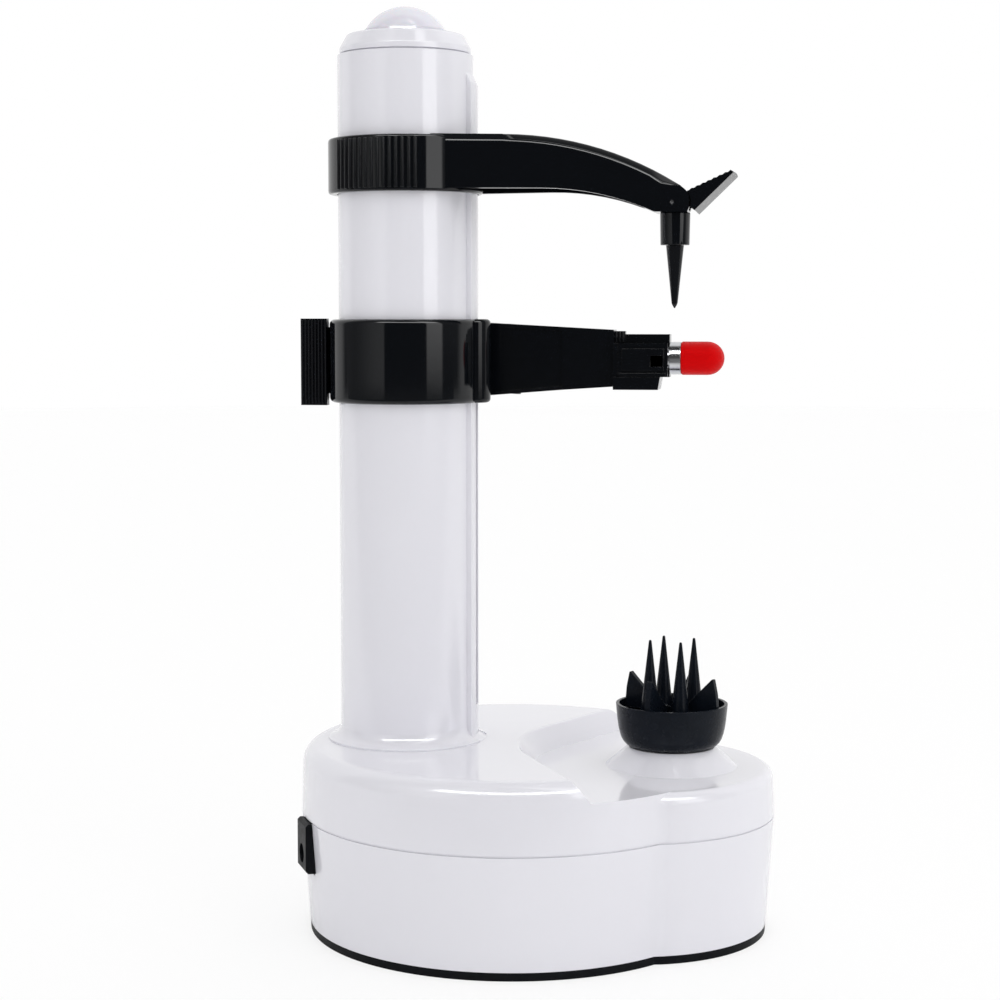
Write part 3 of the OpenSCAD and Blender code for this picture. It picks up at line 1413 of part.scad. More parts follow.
module blade_cartridge() {
    low = blade_z - 5.8;
    high = blade_z + 4.8;
    end_x = holder_end_x - 0.3;
    color(black_plastic) difference() {
        union() {
            translate([cartridge_x, cartridge_front_y + 0.8, low])
                cube([end_x - cartridge_x, cartridge_back_y - cartridge_front_y - 0.8, high - low]);
            // Raised band with its lower lip.
            translate([cartridge_x + 1.2, cartridge_front_y, low + 2.0])
                cube([end_x - cartridge_x - 2.4, 1, high - low - 3.8]);
            translate([cartridge_x + 0.2, cartridge_front_y + 0.2, low])
                cube([end_x - cartridge_x - 0.8, 1, 1.1]);
        }
        // Square window that shows the blade's catch.
        translate([end_x - 5.4, cartridge_front_y - overlap, blade_z - 2.6])
            cube([3.8, 2.2 + overlap, 3.5]);
        tail_bore();
    }
}

module blade() {
    color(steel_grey) translate([0, sleeve_y, blade_z]) rotate([0, 90, 0]) {
        // Tail held in the holder, and the sleeve outside it.
        translate([0, 0, tail_x]) cylinder(h = holder_end_x + overlap - tail_x, r = tail_r);
        translate([0, 0, holder_end_x + 0.1]) cylinder(h = cap_x - holder_end_x - 0.2, r = sleeve_r);
        // Half-round cutting blade under the cap.
        translate([0, 0, cap_x - overlap]) difference() {
            cylinder(h = blade_len + overlap, r = blade_r);
            translate([0, 0, overlap + 0.6]) cylinder(h = blade_len + overlap, r = blade_r - 0.8);
            translate([-blade_r - overlap, 0.9, overlap + 1.5])
                cube([2 * (blade_r + overlap), blade_r + overlap, blade_len]);
        }
    }
}

module blade_cap() {
    body = blade_cap_len - blade_cap_r;
    color(cap_red) translate([cap_x, sleeve_y, blade_z]) rotate([0, 90, 0]) difference() {
        rotate_extrude($fn = 64)
            polygon(concat([[0, 0], [blade_cap_r - 0.3, 0], [blade_cap_r, 0.4]],
                arc_points([0, body], blade_cap_r, 0, 90, 8)));
        translate([0, 0, -overlap]) cylinder(h = blade_len + 0.4 + overlap, r = cap_bore_r);
    }
}

base_plate();
rubber_feet();
base_screws();
lower_shell();
upper_shell();
jack_block();
jack_pin();
gearbox_plate();
gearbox_screws();
drive_motor();
motor_pinion();
gear_axles();
compound_gear();
idler_gear();
turntable_gear();
turntable_shaft();
turntable_bush();
turntable_cup();
lift_gear();
lead_screw();
column_tube();
guide_rail();
column_screws();
top_plate();
start_switch();
button_spring();
column_cap();
start_button();
food_arm();
spike_cup();
spike();
lever_pin();
lever_spring();
thumb_lever();
peel_collar();
half_nut();
tab_pin();
release_tab();
arm_pin();
arm_spring();
peel_arm();
blade_holder();
blade_cartridge();
blade();
blade_cap();
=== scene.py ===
import math

import bpy
import bmesh
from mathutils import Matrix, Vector


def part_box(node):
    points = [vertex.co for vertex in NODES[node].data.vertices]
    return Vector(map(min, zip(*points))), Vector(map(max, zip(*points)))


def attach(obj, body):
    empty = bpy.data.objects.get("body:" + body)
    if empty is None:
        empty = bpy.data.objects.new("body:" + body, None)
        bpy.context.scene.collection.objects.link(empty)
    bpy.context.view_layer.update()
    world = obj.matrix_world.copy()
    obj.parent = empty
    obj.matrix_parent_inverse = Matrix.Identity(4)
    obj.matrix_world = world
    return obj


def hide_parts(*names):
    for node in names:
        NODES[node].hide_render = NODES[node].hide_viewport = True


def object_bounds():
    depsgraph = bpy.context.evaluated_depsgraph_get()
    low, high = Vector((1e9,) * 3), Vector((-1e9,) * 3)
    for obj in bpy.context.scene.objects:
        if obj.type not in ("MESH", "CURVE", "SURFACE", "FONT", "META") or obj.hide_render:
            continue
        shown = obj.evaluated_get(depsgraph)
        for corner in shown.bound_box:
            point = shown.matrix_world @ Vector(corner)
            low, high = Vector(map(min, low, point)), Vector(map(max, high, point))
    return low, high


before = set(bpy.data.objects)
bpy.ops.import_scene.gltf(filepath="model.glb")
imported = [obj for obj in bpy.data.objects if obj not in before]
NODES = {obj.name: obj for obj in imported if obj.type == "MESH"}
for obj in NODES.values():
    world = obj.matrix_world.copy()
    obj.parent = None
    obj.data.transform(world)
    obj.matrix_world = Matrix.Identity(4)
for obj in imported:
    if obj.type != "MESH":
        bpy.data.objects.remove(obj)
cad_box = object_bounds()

bl_info = {
    "name": "Electric potato peeler",
    "version": (1, 0, 0),
    "blender": (4, 5, 0),
    "location": "View3D > Sidebar > Peeler",
    "description": "Dresses the peeler's frame: smooth mouldings, finishes, light and camera",
    "category": "Object",
}

MM = 0.001

# How near a point lies to a level to count as on it.
NEAR = 0.1 * MM
# Points of a node nearer than this are one, and so are points that a bevel or a turn leaves.
WELD, SLIVER = 0.002 * MM, 0.001 * MM
# Faces that meet at less than this angle in degrees are one flat face.
FLAT = 0.6

# The two discs that make the base's outline: centre and radius at the part line.
BASE_DISCS = (((-8.35 * MM, 0), 66.7 * MM), ((30.15 * MM, 0), 45.1 * MM))
# How far the shell's foot lies within that outline, and the plate's foot within the shell's.
BASE_DRAFT = 2.4 * MM
RIM_TUCK = 1.4 * MM
# How much lower the dressed shell ends, and how much wider and lower the plate's foot is.
BASE_HEM = 1.1 * MM
RIM_GROWTH = 1.3 * MM
RIM_DROP = 0.7 * MM

# The inlet block's foot is raised: how much of it moves, and how far.
INLET_FOOT, INLET_LIFT = 2 * MM, 1.8 * MM

# How far the cap's seam lies below its top, and below the tube's end in the frame.
CAP_SEAM, TUBE_DROP = 7.3 * MM, 1 * MM
# Half section of the cap: radius, and height above the seam, in mm. None is the spigot's foot.
CAP_PROFILE = ((17.3, None), (19.0, None), (19.0, 0), (19.6, 0), (19.6, 0.5), (20.6, 0.5),
               (20.6, 2.2), (18.45, 6.05), (18.0, 6.4), (13.2, 6.4), (13.2, 4), (14.9, 4),
               (14.9, 1.9), (17.3, 1.9), (17.3, None))
# How much wider the button's dome is, as a factor.
DOME_GROWTH = 1.035
# The guide rail's head is raised: how much of it moves, and how far.
RAIL_HEAD, RAIL_LIFT = 8 * MM, 1.5 * MM

# Skin of the food arm's collar in mm: its radii and its lower and upper edge.
SKIN_IN, SKIN_OUT, SKIN_LOW, SKIN_HIGH = 24.1, 24.34, 232.7, 247.8
# Ribs on each side of the collar: how many, and the first one's angle and their spread in degrees.
RIBS, RIB_START, RIB_SPREAD = 15, 72, 65
# A rib's radius, length and rounding, and the radius and height that its middle lies on.
RIB_RADIUS, RIB_LENGTH, RIB_ROUND = 0.64 * MM, 15.2 * MM, 0.2 * MM
RIB_RING, RIB_MIDDLE = 24.2 * MM, 240.25 * MM
# The spike's blunt tip: radius, and height above its lowest point, in mm.
SPIKE_TIP = ((0.05, 0), (0.2, 0.1), (0.8, 1.15), (0.97, 1.7))
# Crown under the thumb lever: its two ends in side view, its radius and its half width.
CROWN_HEEL, CROWN_TIP = (50.0 * MM, 225.3 * MM), (61.978 * MM, 236.89 * MM)
CROWN_RADIUS, CROWN_HALF = 16 * MM, 6.3 * MM
# How much higher the near edge of the flattened underside lies.
SOLE_LIFT = 1.1 * MM

# The peel collar's rims: how high each is, and how much more they stand out above and below.
FLANGE_RIM, FLANGE_UP, FLANGE_DOWN = 1.62 * MM, 0.7 * MM, 0.8 * MM
# Post on the peel collar: its radius, how much longer than the collar it is and its rounding;
# then its place beside the column's axis, and where its flat back lies.
POST_RADIUS, POST_MORE, POST_ROUND = 5.3 * MM, 1.5 * MM, 1.3 * MM
POST_X, POST_Y, POST_BACK = 22.05 * MM, -2.2 * MM, 23.15 * MM
# The release tab's plate: how thick its ends are, and how much they move up and down.
TAB_END, TAB_UP, TAB_DOWN = 0.7 * MM, 0.9 * MM, 1.8 * MM
# The peel arm's floor from its root to the knee: its run and rise, and how far the root is
# turned up; and how much shorter the hinge pin is for it.
ROOT_RUN, ROOT_RISE, ROOT_LIFT = 24.3 * MM, 3.96 * MM, 2 * MM
PIN_LIFT = 1.9 * MM


def off_axis(point, axis):
    """Distance of a point from an upright axis."""
    return math.hypot(point.x - axis[0], point.y - axis[1])


def outside(point, margin):
    """Whether a point lies outside the base's outline once that is drawn in by a margin."""
    return all(off_axis(point, centre) > radius - margin for centre, radius in BASE_DISCS)


def middle(node):
    """Middle of a node's box at rest."""
    low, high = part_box(node)
    return (low + high) / 2


# Places that the frame gives.
COLUMN = middle("lead_screw")
TURN = middle("turntable_shaft")
FLOOR = cad_box[0][2]
MIDDLE = (Vector(cad_box[0]) + Vector(cad_box[1])) / 2

# Place of the key light and its side.
KEY_PLACE, KEY_SIDE = (0.55, -0.45, 0.80), 0.5
# The camera: its lens and its sensor in mm, its place, and how it looks left and down.
CAMERA_LENS, CAMERA_SENSOR = 75.9, 36.0
CAMERA_PLACE = (COLUMN.x + 0.1308, -0.6578, 0.193)
CAMERA_TURN = 0.152
CAMERA_PITCH = 0.086
# Radius of the floor, and how far the camera sees.
FLOOR_RADIUS, FAR = 4.0, 20


# ---- Sizes and colours that a user would change ----

class PeelerFinishes(bpy.types.PropertyGroup):
    """Colours of the mouldings and metals."""
    shell: bpy.props.FloatVectorProperty(
        name="Shell", description="Colour of the glossy white mouldings",
        subtype="COLOR", size=3, min=0, max=1, default=(0.80, 0.795, 0.845))
    black: bpy.props.FloatVectorProperty(
        name="Black", description="Colour of the glossy black mouldings",
        subtype="COLOR", size=3, min=0, max=1, default=(0.0024, 0.0031, 0.0045))
    red: bpy.props.FloatVectorProperty(
        name="Cap", description="Colour of the blade's cap",
        subtype="COLOR", size=3, min=0, max=1, default=(0.64, 0.002, 0.003))
    button: bpy.props.FloatVectorProperty(
        name="Button", description="Colour of the start button",
        subtype="COLOR", size=3, min=0, max=1, default=(0.77, 0.76, 0.83))
    steel: bpy.props.FloatVectorProperty(
        name="Steel", description="Colour of the steel pieces",
        subtype="COLOR", size=3, min=0, max=1, default=(0.63, 0.64, 0.66))


class PeelerEdges(bpy.types.PropertyGroup):
    """Rounding of the moulded edges."""
    shell: bpy.props.FloatProperty(
        name="Shell edges", description="Rounding of the white shells' edges",
        unit="LENGTH", min=0, default=0.9 * MM)
    arm: bpy.props.FloatProperty(
        name="Arm edges", description="Chamfer along the back of the food arm",
        unit="LENGTH", min=0, default=2.1 * MM)
    small: bpy.props.FloatProperty(
        name="Small edges", description="Rounding of the small pieces' edges",
        unit="LENGTH", min=0, default=0.3 * MM)


class PeelerStage(bpy.types.PropertyGroup):
    """Light on the piece, and what mirrors see."""
    sky: bpy.props.FloatProperty(
        name="Sky", description="Strength of the soft light from all round", min=0, default=0.93)
    key: bpy.props.FloatProperty(
        name="Key", description="Power of the key light", unit="POWER", min=0, default=0.8)
    strip: bpy.props.FloatProperty(
        name="Strip", description="Brightness of the tall strip that mirrors see",
        min=0, default=2.6)


# ---- Modelling ----

def select_none():
    """Nothing selected and nothing active, in object mode."""
    if bpy.context.object and bpy.context.object.mode != "OBJECT":
        bpy.ops.object.mode_set(mode="OBJECT")
    bpy.ops.object.select_all(action="DESELECT")
    bpy.context.view_layer.objects.active = None


def make_active(obj):
    """One object selected and active, in object mode."""
    select_none()
    obj.select_set(True)
    bpy.context.view_layer.objects.active = obj


def edit(obj):
    """Edit mode on one object."""
    make_active(obj)
    bpy.ops.object.mode_set(mode="EDIT")


def object_mode():
    """Back to object mode."""
    bpy.ops.object.mode_set(mode="OBJECT")


def copy_of(node, name):
    """Copy of a node's mesh with its loose triangles joined to whole faces."""
    piece = bpy.data.objects.new(name, NODES[node].data.copy())
    bpy.context.scene.collection.objects.link(piece)
    piece.data.materials.clear()
    edit(piece)
    bpy.ops.mesh.select_all(action="SELECT")
    bpy.ops.mesh.remove_doubles(threshold=WELD)
    bpy.ops.mesh.dissolve_limited(angle_limit=math.radians(FLAT), delimit=set())
    object_mode()
    return piece


def apply_modifiers(piece):
    """Makes a piece's modifiers part of its mesh."""
    make_active(piece)
    for modifier in list(piece.modifiers):
        bpy.ops.object.modifier_apply(modifier=modifier.name)


def clear_slivers(piece):
    """Takes out the slivers that a bevel leaves."""
    edit(piece)
    bpy.ops.mesh.select_all(action="SELECT")
    bpy.ops.mesh.remove_doubles(threshold=SLIVER)
    bpy.ops.mesh.dissolve_degenerate(threshold=SLIVER)
    object_mode()


def round_edges(piece, width, sharp=35):
    """Rounds a piece's edges that are sharper than an angle in degrees."""
    bevel = piece.modifiers.new("Bevel", "BEVEL")
    bevel.width = width
    bevel.segments = 3
    bevel.limit_method = "ANGLE"
    bevel.angle_limit = math.radians(sharp)
    bevel.use_clamp_overlap = True
    bevel.miter_outer = "MITER_ARC"
    apply_modifiers(piece)
    clear_slivers(piece)


def smooth(piece, sharp=35):
    """Smooth shading that keeps edges sharper than the angle, with flat faces left flat."""
    make_active(piece)
    bpy.ops.object.shade_smooth_by_angle(angle=math.radians(sharp))
    weighted = piece.modifiers.new("Weighted normals", "WEIGHTED_NORMAL")
    weighted.keep_sharp = True
    # Large faces lead a little.
    weighted.weight = 60
    apply_modifiers(piece)


def pick(piece, kind, test):
    """Selects in edit mode the points or edges of a piece that a test takes."""
    edit(piece)
    bpy.ops.mesh.select_mode(type=kind)
    bpy.ops.mesh.select_all(action="DESELECT")
    mesh = bmesh.from_edit_mesh(piece.data)
    for part in mesh.verts if kind == "VERT" else mesh.edges:
        part.select_set(test(part))
    bmesh.update_edit_mesh(piece.data)


def move_points(piece, test, value):
    """Moves the points whose place a test takes."""
    pick(piece, "VERT", lambda point: test(point.co))
    bpy.ops.transform.translate(value=value)
    object_mode()


def resize_points(piece, test, value, centre):
    """Resizes the points whose place a test takes about a centre."""
    pick(piece, "VERT", lambda point: test(point.co))
    bpy.ops.transform.resize(value=value, center_override=centre)
    object_mode()


def swell(piece, level, inset, growth):
    """Grows the points of a level that lie on the base's outline less an inset, disc by disc."""
    slack = 0.3 * MM
    for centre, radius in BASE_DISCS:
        wide = 1 + growth / radius
        resize_points(piece, lambda p: abs(p.z - level) < NEAR and outside(p, inset + slack)
                      and abs(off_axis(p, centre) - radius + inset) < slack,
                      (wide, wide, 1), (*centre, 0))


def bevel_edges(piece, width, segments, test):
    """Bevels the edges that a test takes. It gets an edge's middle and the normals of its two
    faces, the one that looks more sideways first."""
    def taken(edge):
        if len(edge.link_faces) != 2:
            return False
        normals = sorted((face.normal for face in edge.link_faces), key=lambda n: -abs(n.y))
        return test((edge.verts[0].co + edge.verts[1].co) / 2, *normals)
    pick(piece, "EDGE", taken)
    bpy.ops.mesh.bevel(offset=width, offset_type="OFFSET", segments=segments, affect="EDGES",
                       clamp_overlap=False)
    object_mode()


def turned(name, foot, profile, steps=96, ring=False):
    """Piece turned round +Z: its profile goes on from a foot, as pairs of radius and height.
    A ring's profile comes back to its start."""
    (radius, height), *rest = profile
    select_none()
    bpy.ops.mesh.primitive_circle_add(vertices=steps, radius=radius,
                                      fill_type="NOTHING" if ring else "NGON")
    piece = bpy.context.object
    piece.name = name
    edit(piece)
    bpy.ops.mesh.select_all(action="SELECT")
    centre = Vector(foot) + Vector((0, 0, height))
    bpy.ops.transform.translate(value=centre)
    for wide, high in rest:
        bpy.ops.mesh.extrude_region_move(
            TRANSFORM_OT_translate={"value": (0, 0, high - height)})
        centre.z += high - height
        bpy.ops.transform.resize(value=(wide / radius, wide / radius, 1),
                                 center_override=centre)
        radius, height = wide, high
    bpy.ops.mesh.select_all(action="SELECT")
    if ring:
        bpy.ops.mesh.remove_doubles(threshold=SLIVER)
    bpy.ops.mesh.normals_make_consistent(inside=False)
    object_mode()
    return piece


def chamfer_back(piece, width):
    """Chamfers the long edges between the food arm's sides and its back, and rounds them."""
    pin = middle("lever_pin")
    start, end, pin_room = COLUMN.x + 24 * MM, pin.x + 0.6 * MM, 1.6 * MM
    side_round, back_round = 0.35 * width, 0.25 * width

    def outer(place, side):
        """On an outer side, clear of the collar and of the lever's pin."""
        return (side.y * place.y > 0 and start < place.x < end
                and math.hypot(place.x - pin.x, place.z - pin.z) > pin_room)

    def is_side(normal):
        return abs(normal.y) > 0.9

    def is_slope(normal):
        return 0.4 < abs(normal.y) < 0.88

    def is_back(normal):
        return abs(normal.y) < 0.2 and normal.z > 0.3

    bevel_edges(piece, width, 1, lambda place, side, back:
                outer(place, side) and is_side(side) and is_back(back))
    bevel_edges(piece, side_round, 3, lambda place, side, slope:
                outer(place, side) and is_side(side) and is_slope(slope) and slope.z > 0.2)
    bevel_edges(piece, back_round, 3, lambda place, slope, back:
                outer(place, slope) and is_slope(slope) and is_back(back))


def dress(node, body, slot, material, width=0.0, shape=None, crease=35):
    """A rounded, smooth piece that stands for a node, after its shape has been touched up."""
    piece = copy_of(node, node + "_moulded")
    if shape:
        shape(piece)
    if width:
        round_edges(piece, width)
    smooth(piece, crease)
    finish(piece, body, slot, material, node)


def finish(piece, body, slot, material, *nodes):
    """Gives a piece its material and its body, and hides the nodes that it stands for. Its slot is
    not used.
    """
    piece.data.materials.clear()
    piece.data.materials.append(material)
    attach(piece, body)
    if nodes:
        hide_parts(*nodes)


# ---- Materials ----

# The range that a noise seldom leaves.
NOISE = (0.3, 0.7)


class Sums:
    """Short words for the sums of a node tree."""

    def __init__(self, tree):
        self.nodes, self.links = tree.nodes, tree.links

    def node(self, kind, **values):
        """New node of a kind, with its settings."""
        made = self.nodes.new(kind)
        for key, value in values.items():
            setattr(made, key, value)
        return made

    def feed(self, slot, value):
        """Links an output to a slot, or sets the slot to a number."""
        if isinstance(value, bpy.types.NodeSocket):
            self.links.new(value, slot)
        else:
            slot.default_value = value

    def sum(self, operation, *values):
        """One number out of two; further numbers are taken in by the same operation."""
        made = self.node("ShaderNodeMath", operation=operation)
        self.feed(made.inputs[0], values[0])
        self.feed(made.inputs[1], values[1])
        if len(values) > 2:
            return self.sum(operation, made.outputs[0], *values[2:])
        return made.outputs[0]

    def step(self, value, low, high, first=0.0, last=1.0):
        """Soft step from one number to another while the value goes from low to high."""
        made = self.node("ShaderNodeMapRange", interpolation_type="SMOOTHSTEP")
        for slot, number in zip(made.inputs, (value, low, high, first, last)):
            self.feed(slot, number)
        return made.outputs["Result"]

    def blend(self, factor, first, last):
        """A number between two numbers."""
        made = self.node("ShaderNodeMix")
        for key, value in (("Factor", factor), ("A", first), ("B", last)):
            self.feed(made.inputs[key], value)
        return made.outputs["Result"]


class Recipe(Sums):
    """A material's node tree, with short words for the nodes that the finishes share."""

    def __init__(self, name):
        self.material = bpy.data.materials.new(name)
        self.material.use_nodes = True
        super().__init__(self.material.node_tree)
        self.shader = self.nodes["Principled BSDF"]
        self.place = self.nodes.new("ShaderNodeTexCoord").outputs["Object"]

    def set(self, **values):
        """Sets the shader's inputs, named with _ for a space."""
        for key, value in values.items():
            self.shader.inputs[key.replace("_", " ")].default_value = value

    def noise(self, scale, detail=3.0, stretch=(1, 1, 1)):
        """Noise of a scale per metre, stretched along the axes."""
        mapping = self.node("ShaderNodeMapping")
        mapping.inputs["Scale"].default_value = stretch
        self.links.new(self.place, mapping.inputs["Vector"])
        noise = self.node("ShaderNodeTexNoise")
        noise.inputs["Scale"].default_value = scale
        noise.inputs["Detail"].default_value = detail
        self.links.new(mapping.outputs["Vector"], noise.inputs["Vector"])
        return noise.outputs["Fac"]

    def spread(self, factor, low, high):
        """A noise's usual range spread between two values."""
        ranged = self.node("ShaderNodeMapRange")
        ranged.inputs["From Min"].default_value, ranged.inputs["From Max"].default_value = NOISE
        ranged.inputs["To Min"].default_value = low
        ranged.inputs["To Max"].default_value = high
        self.links.new(factor, ranged.inputs["Value"])
        return ranged.outputs["Result"]

    def tint(self, factor, first, second):
        """A colour between two colours."""
        mix = self.node("ShaderNodeMix", data_type="RGBA")
        mix.inputs["A"].default_value = (*first, 1)
        mix.inputs["B"].default_value = (*second, 1)
        self.links.new(factor, mix.inputs["Factor"])
        return mix.outputs["Result"]

    def colour(self, output):
        """The shader's colour."""
        self.links.new(output, self.shader.inputs["Base Color"])

    def roughness(self, output):
        """The shader's roughness."""
        self.links.new(output, self.shader.inputs["Roughness"])

    def bump(self, factor, depth):
        """Relief of a depth in metres."""
        bump = self.node("ShaderNodeBump")
        bump.inputs["Distance"].default_value = depth
        bump.inputs["Strength"].default_value = 1.0
        self.links.new(factor, bump.inputs["Height"])
        self.links.new(bump.outputs["Normal"], self.shader.inputs["Normal"])


def shade(colour, share):
    """A colour darkened or lightened by a factor."""
    return tuple(channel * share for channel in colour)


def glossy_shell(colour):
    """Polished white moulding with a faint waviness and a trace of dirt in its tone."""
    recipe = Recipe("glossy white shell")
    recipe.set(Specular_IOR_Level=0.5, Coat_Weight=0.3, Coat_Roughness=0.04)
    recipe.colour(recipe.tint(recipe.noise(22), shade(colour, 0.985), colour))
    recipe.roughness(recipe.spread(recipe.noise(60), 0.10, 0.14))
    recipe.bump(recipe.noise(90, detail=1.0), 0.02 * MM)
    return recipe.material


def glossy_black(colour):
    """Polished black moulding."""
    recipe = Recipe("glossy black moulding")
    recipe.set(Specular_IOR_Level=0.34)
    recipe.colour(recipe.tint(recipe.noise(30), shade(colour, 0.85), shade(colour, 1.15)))
    recipe.roughness(recipe.spread(recipe.noise(120), 0.06, 0.09))
    recipe.bump(recipe.noise(160, detail=2.0), 0.006 * MM)
    return recipe.material


def satin_black(colour, name="satin black moulding", shine=0.1, rough=0.4):
    """Black moulding with a fine spark-eroded texture."""
    recipe = Recipe(name)
    recipe.set(Specular_IOR_Level=shine)
    recipe.colour(recipe.tint(recipe.noise(300), shade(colour, 0.8), shade(colour, 1.3)))
    recipe.roughness(recipe.spread(recipe.noise(400), rough, rough + 0.1))
    recipe.bump(recipe.noise(2600, detail=2.0), 0.02 * MM)
    return recipe.material


def rubber(colour):
    """Matte rubber of the feet."""
    recipe = Recipe("black rubber")
    recipe.set(Specular_IOR_Level=0.1)
    recipe.colour(recipe.tint(recipe.noise(500), shade(colour, 1.2), shade(colour, 1.8)))
    recipe.roughness(recipe.spread(recipe.noise(300), 0.7, 0.85))
    recipe.bump(recipe.noise(3000), 0.03 * MM)
    return recipe.material


def turned_steel(colour):
    """Steel with fine marks round its axis."""
    recipe = Recipe("turned steel")
    recipe.set(Metallic=1.0)
    marks = recipe.noise(1500, detail=2.0, stretch=(1, 0.05, 0.05))
    recipe.colour(recipe.tint(marks, shade(colour, 0.96), colour))
    recipe.roughness(recipe.spread(marks, 0.14, 0.19))
    recipe.bump(marks, 0.001 * MM)
    return recipe.material


def warm_brass():
    """Brass with a fine grain."""
    recipe = Recipe("brass")
    recipe.set(Metallic=1.0)
    grain = recipe.noise(500)
    recipe.colour(recipe.tint(grain, (0.55, 0.38, 0.12), (0.66, 0.47, 0.17)))
    recipe.roughness(recipe.spread(grain, 0.25, 0.35))
    return recipe.material


def gear_plastic():
    """Off-white, slightly waxy gear moulding."""
    recipe = Recipe("gear moulding")
    recipe.set(Specular_IOR_Level=0.45)
    recipe.colour(recipe.tint(recipe.noise(60), (0.70, 0.68, 0.58), (0.76, 0.74, 0.65)))
    recipe.roughness(recipe.spread(recipe.noise(200), 0.35, 0.45))
    recipe.bump(recipe.noise(900), 0.01 * MM)
    return recipe.material


def soft_red(colour):
    """Matte soft vinyl of the blade's cap."""
    recipe = Recipe("soft red vinyl")
    recipe.set(Specular_IOR_Level=0.2, Specular_Tint=(1, 0.12, 0.12, 1))
    recipe.colour(recipe.tint(recipe.noise(120), shade(colour, 0.94), colour))
    recipe.roughness(recipe.spread(recipe.noise(300), 0.42, 0.52))
    recipe.bump(recipe.noise(1500), 0.012 * MM)
    return recipe.material


def frosted_button(colour):
    """Pale, slightly see-through dome."""
    recipe = Recipe("frosted button")
    recipe.set(Specular_IOR_Level=0.5, Coat_Weight=0.5, Coat_Roughness=0.05,
               Subsurface_Weight=0.15, Subsurface_Scale=2 * MM)
    recipe.colour(recipe.tint(recipe.noise(50), shade(colour, 0.97), colour))
    recipe.roughness(recipe.spread(recipe.noise(120), 0.12, 0.18))
    return recipe.material


# Blue-black of the turntable's cup.
CUP_BLACK = (0.0045, 0.0065, 0.0105)
# The materials by name, filled by all_materials.
MATERIALS = {}


def all_materials():
    """The materials by name, made once."""
    if not MATERIALS:
        finishes = bpy.context.scene.peeler_finishes
        shell, black = tuple(finishes.shell), tuple(finishes.black)
        MATERIALS.update(
            shell=glossy_shell(shell), black=glossy_black(black), satin=satin_black(black),
            grip=satin_black(black, "ribbed black moulding", 0.34, 0.3),
            cup=satin_black(CUP_BLACK, "blue-black cup", 0.12, 0.2),
            rubber=rubber(black), steel=turned_steel(tuple(finishes.steel)), brass=warm_brass(),
            gear=gear_plastic(), red=soft_red(tuple(finishes.red)),
            button=frosted_button(tuple(finishes.button)))
    return MATERIALS


def coat(material, *nodes):
    """Gives nodes that keep their CAD shape a material."""
    for node in nodes:
        mesh = NODES[node].data
        mesh.materials.clear()
        mesh.materials.append(all_materials()[material])


# ---- Operators ----

class PEELER_OT_base(bpy.types.Operator):
    """Base: the two shells, the plate with its feet and the power inlet"""
    bl_idname = "peeler.base"
    bl_label = "Base"

    def execute(self, context):
        made, edges = all_materials(), context.scene.peeler_edges
        dress("upper_shell", "base", "white_shell", made["shell"], edges.shell, crease=25)
        dress("lower_shell", "base", "white_shell", made["shell"], edges.small, self.hem, 25)
        dress("base_plate", "base", "black_matte", made["satin"], edges.small, self.rim, 30)
        dress("rubber_feet", "base", "rubber", made["rubber"], edges.small)
        dress("jack_block", "base", "black_gloss", made["satin"], edges.small, self.foot)
        coat("steel", "base_screws")
        coat("brass", "jack_pin")
        return {"FINISHED"}

    @staticmethod
    def hem(piece):
        """The shell's lower edge comes lower over the plate."""
        low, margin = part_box("lower_shell")[0].z, 5.5 * MM
        move_points(piece, lambda p: p.z < low + NEAR and outside(p, margin), (0, 0, -BASE_HEM))

    @staticmethod
    def rim(piece):
        """The plate's rim goes with it, fuller and nearly down to what it stands on."""
        low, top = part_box("base_plate")[0].z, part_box("lower_shell")[0].z
        low_margin, top_margin = 4.3 * MM, 4 * MM
        swell(piece, low, BASE_DRAFT + RIM_TUCK, RIM_GROWTH)
        move_points(piece, lambda p: abs(p.z - top) < NEAR and outside(p, top_margin),
                    (0, 0, -BASE_HEM))
        move_points(piece, lambda p: p.z < low + NEAR and outside(p, low_margin),
                    (0, 0, -RIM_DROP))

    @staticmethod
    def foot(piece):
        """The inlet block ends higher."""
        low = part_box("jack_block")[0].z
        move_points(piece, lambda p: p.z < low + INLET_FOOT, (0, 0, INLET_LIFT))


class PEELER_OT_drive(bpy.types.Operator):
    """Drive: motor, gears, shafts and screws inside the base and column"""
    bl_idname = "peeler.drive"
    bl_label = "Drive"

    def execute(self, context):
        coat("gear", "gearbox_plate", "compound_gear", "idler_gear", "turntable_gear", "lift_gear",
             "top_plate", "half_nut")
        coat("steel", "gearbox_screws", "drive_motor", "gear_axles", "turntable_shaft",
             "lead_screw", "column_screws", "button_spring")
        coat("brass", "motor_pinion", "turntable_bush")
        coat("satin", "start_switch")
        return {"FINISHED"}


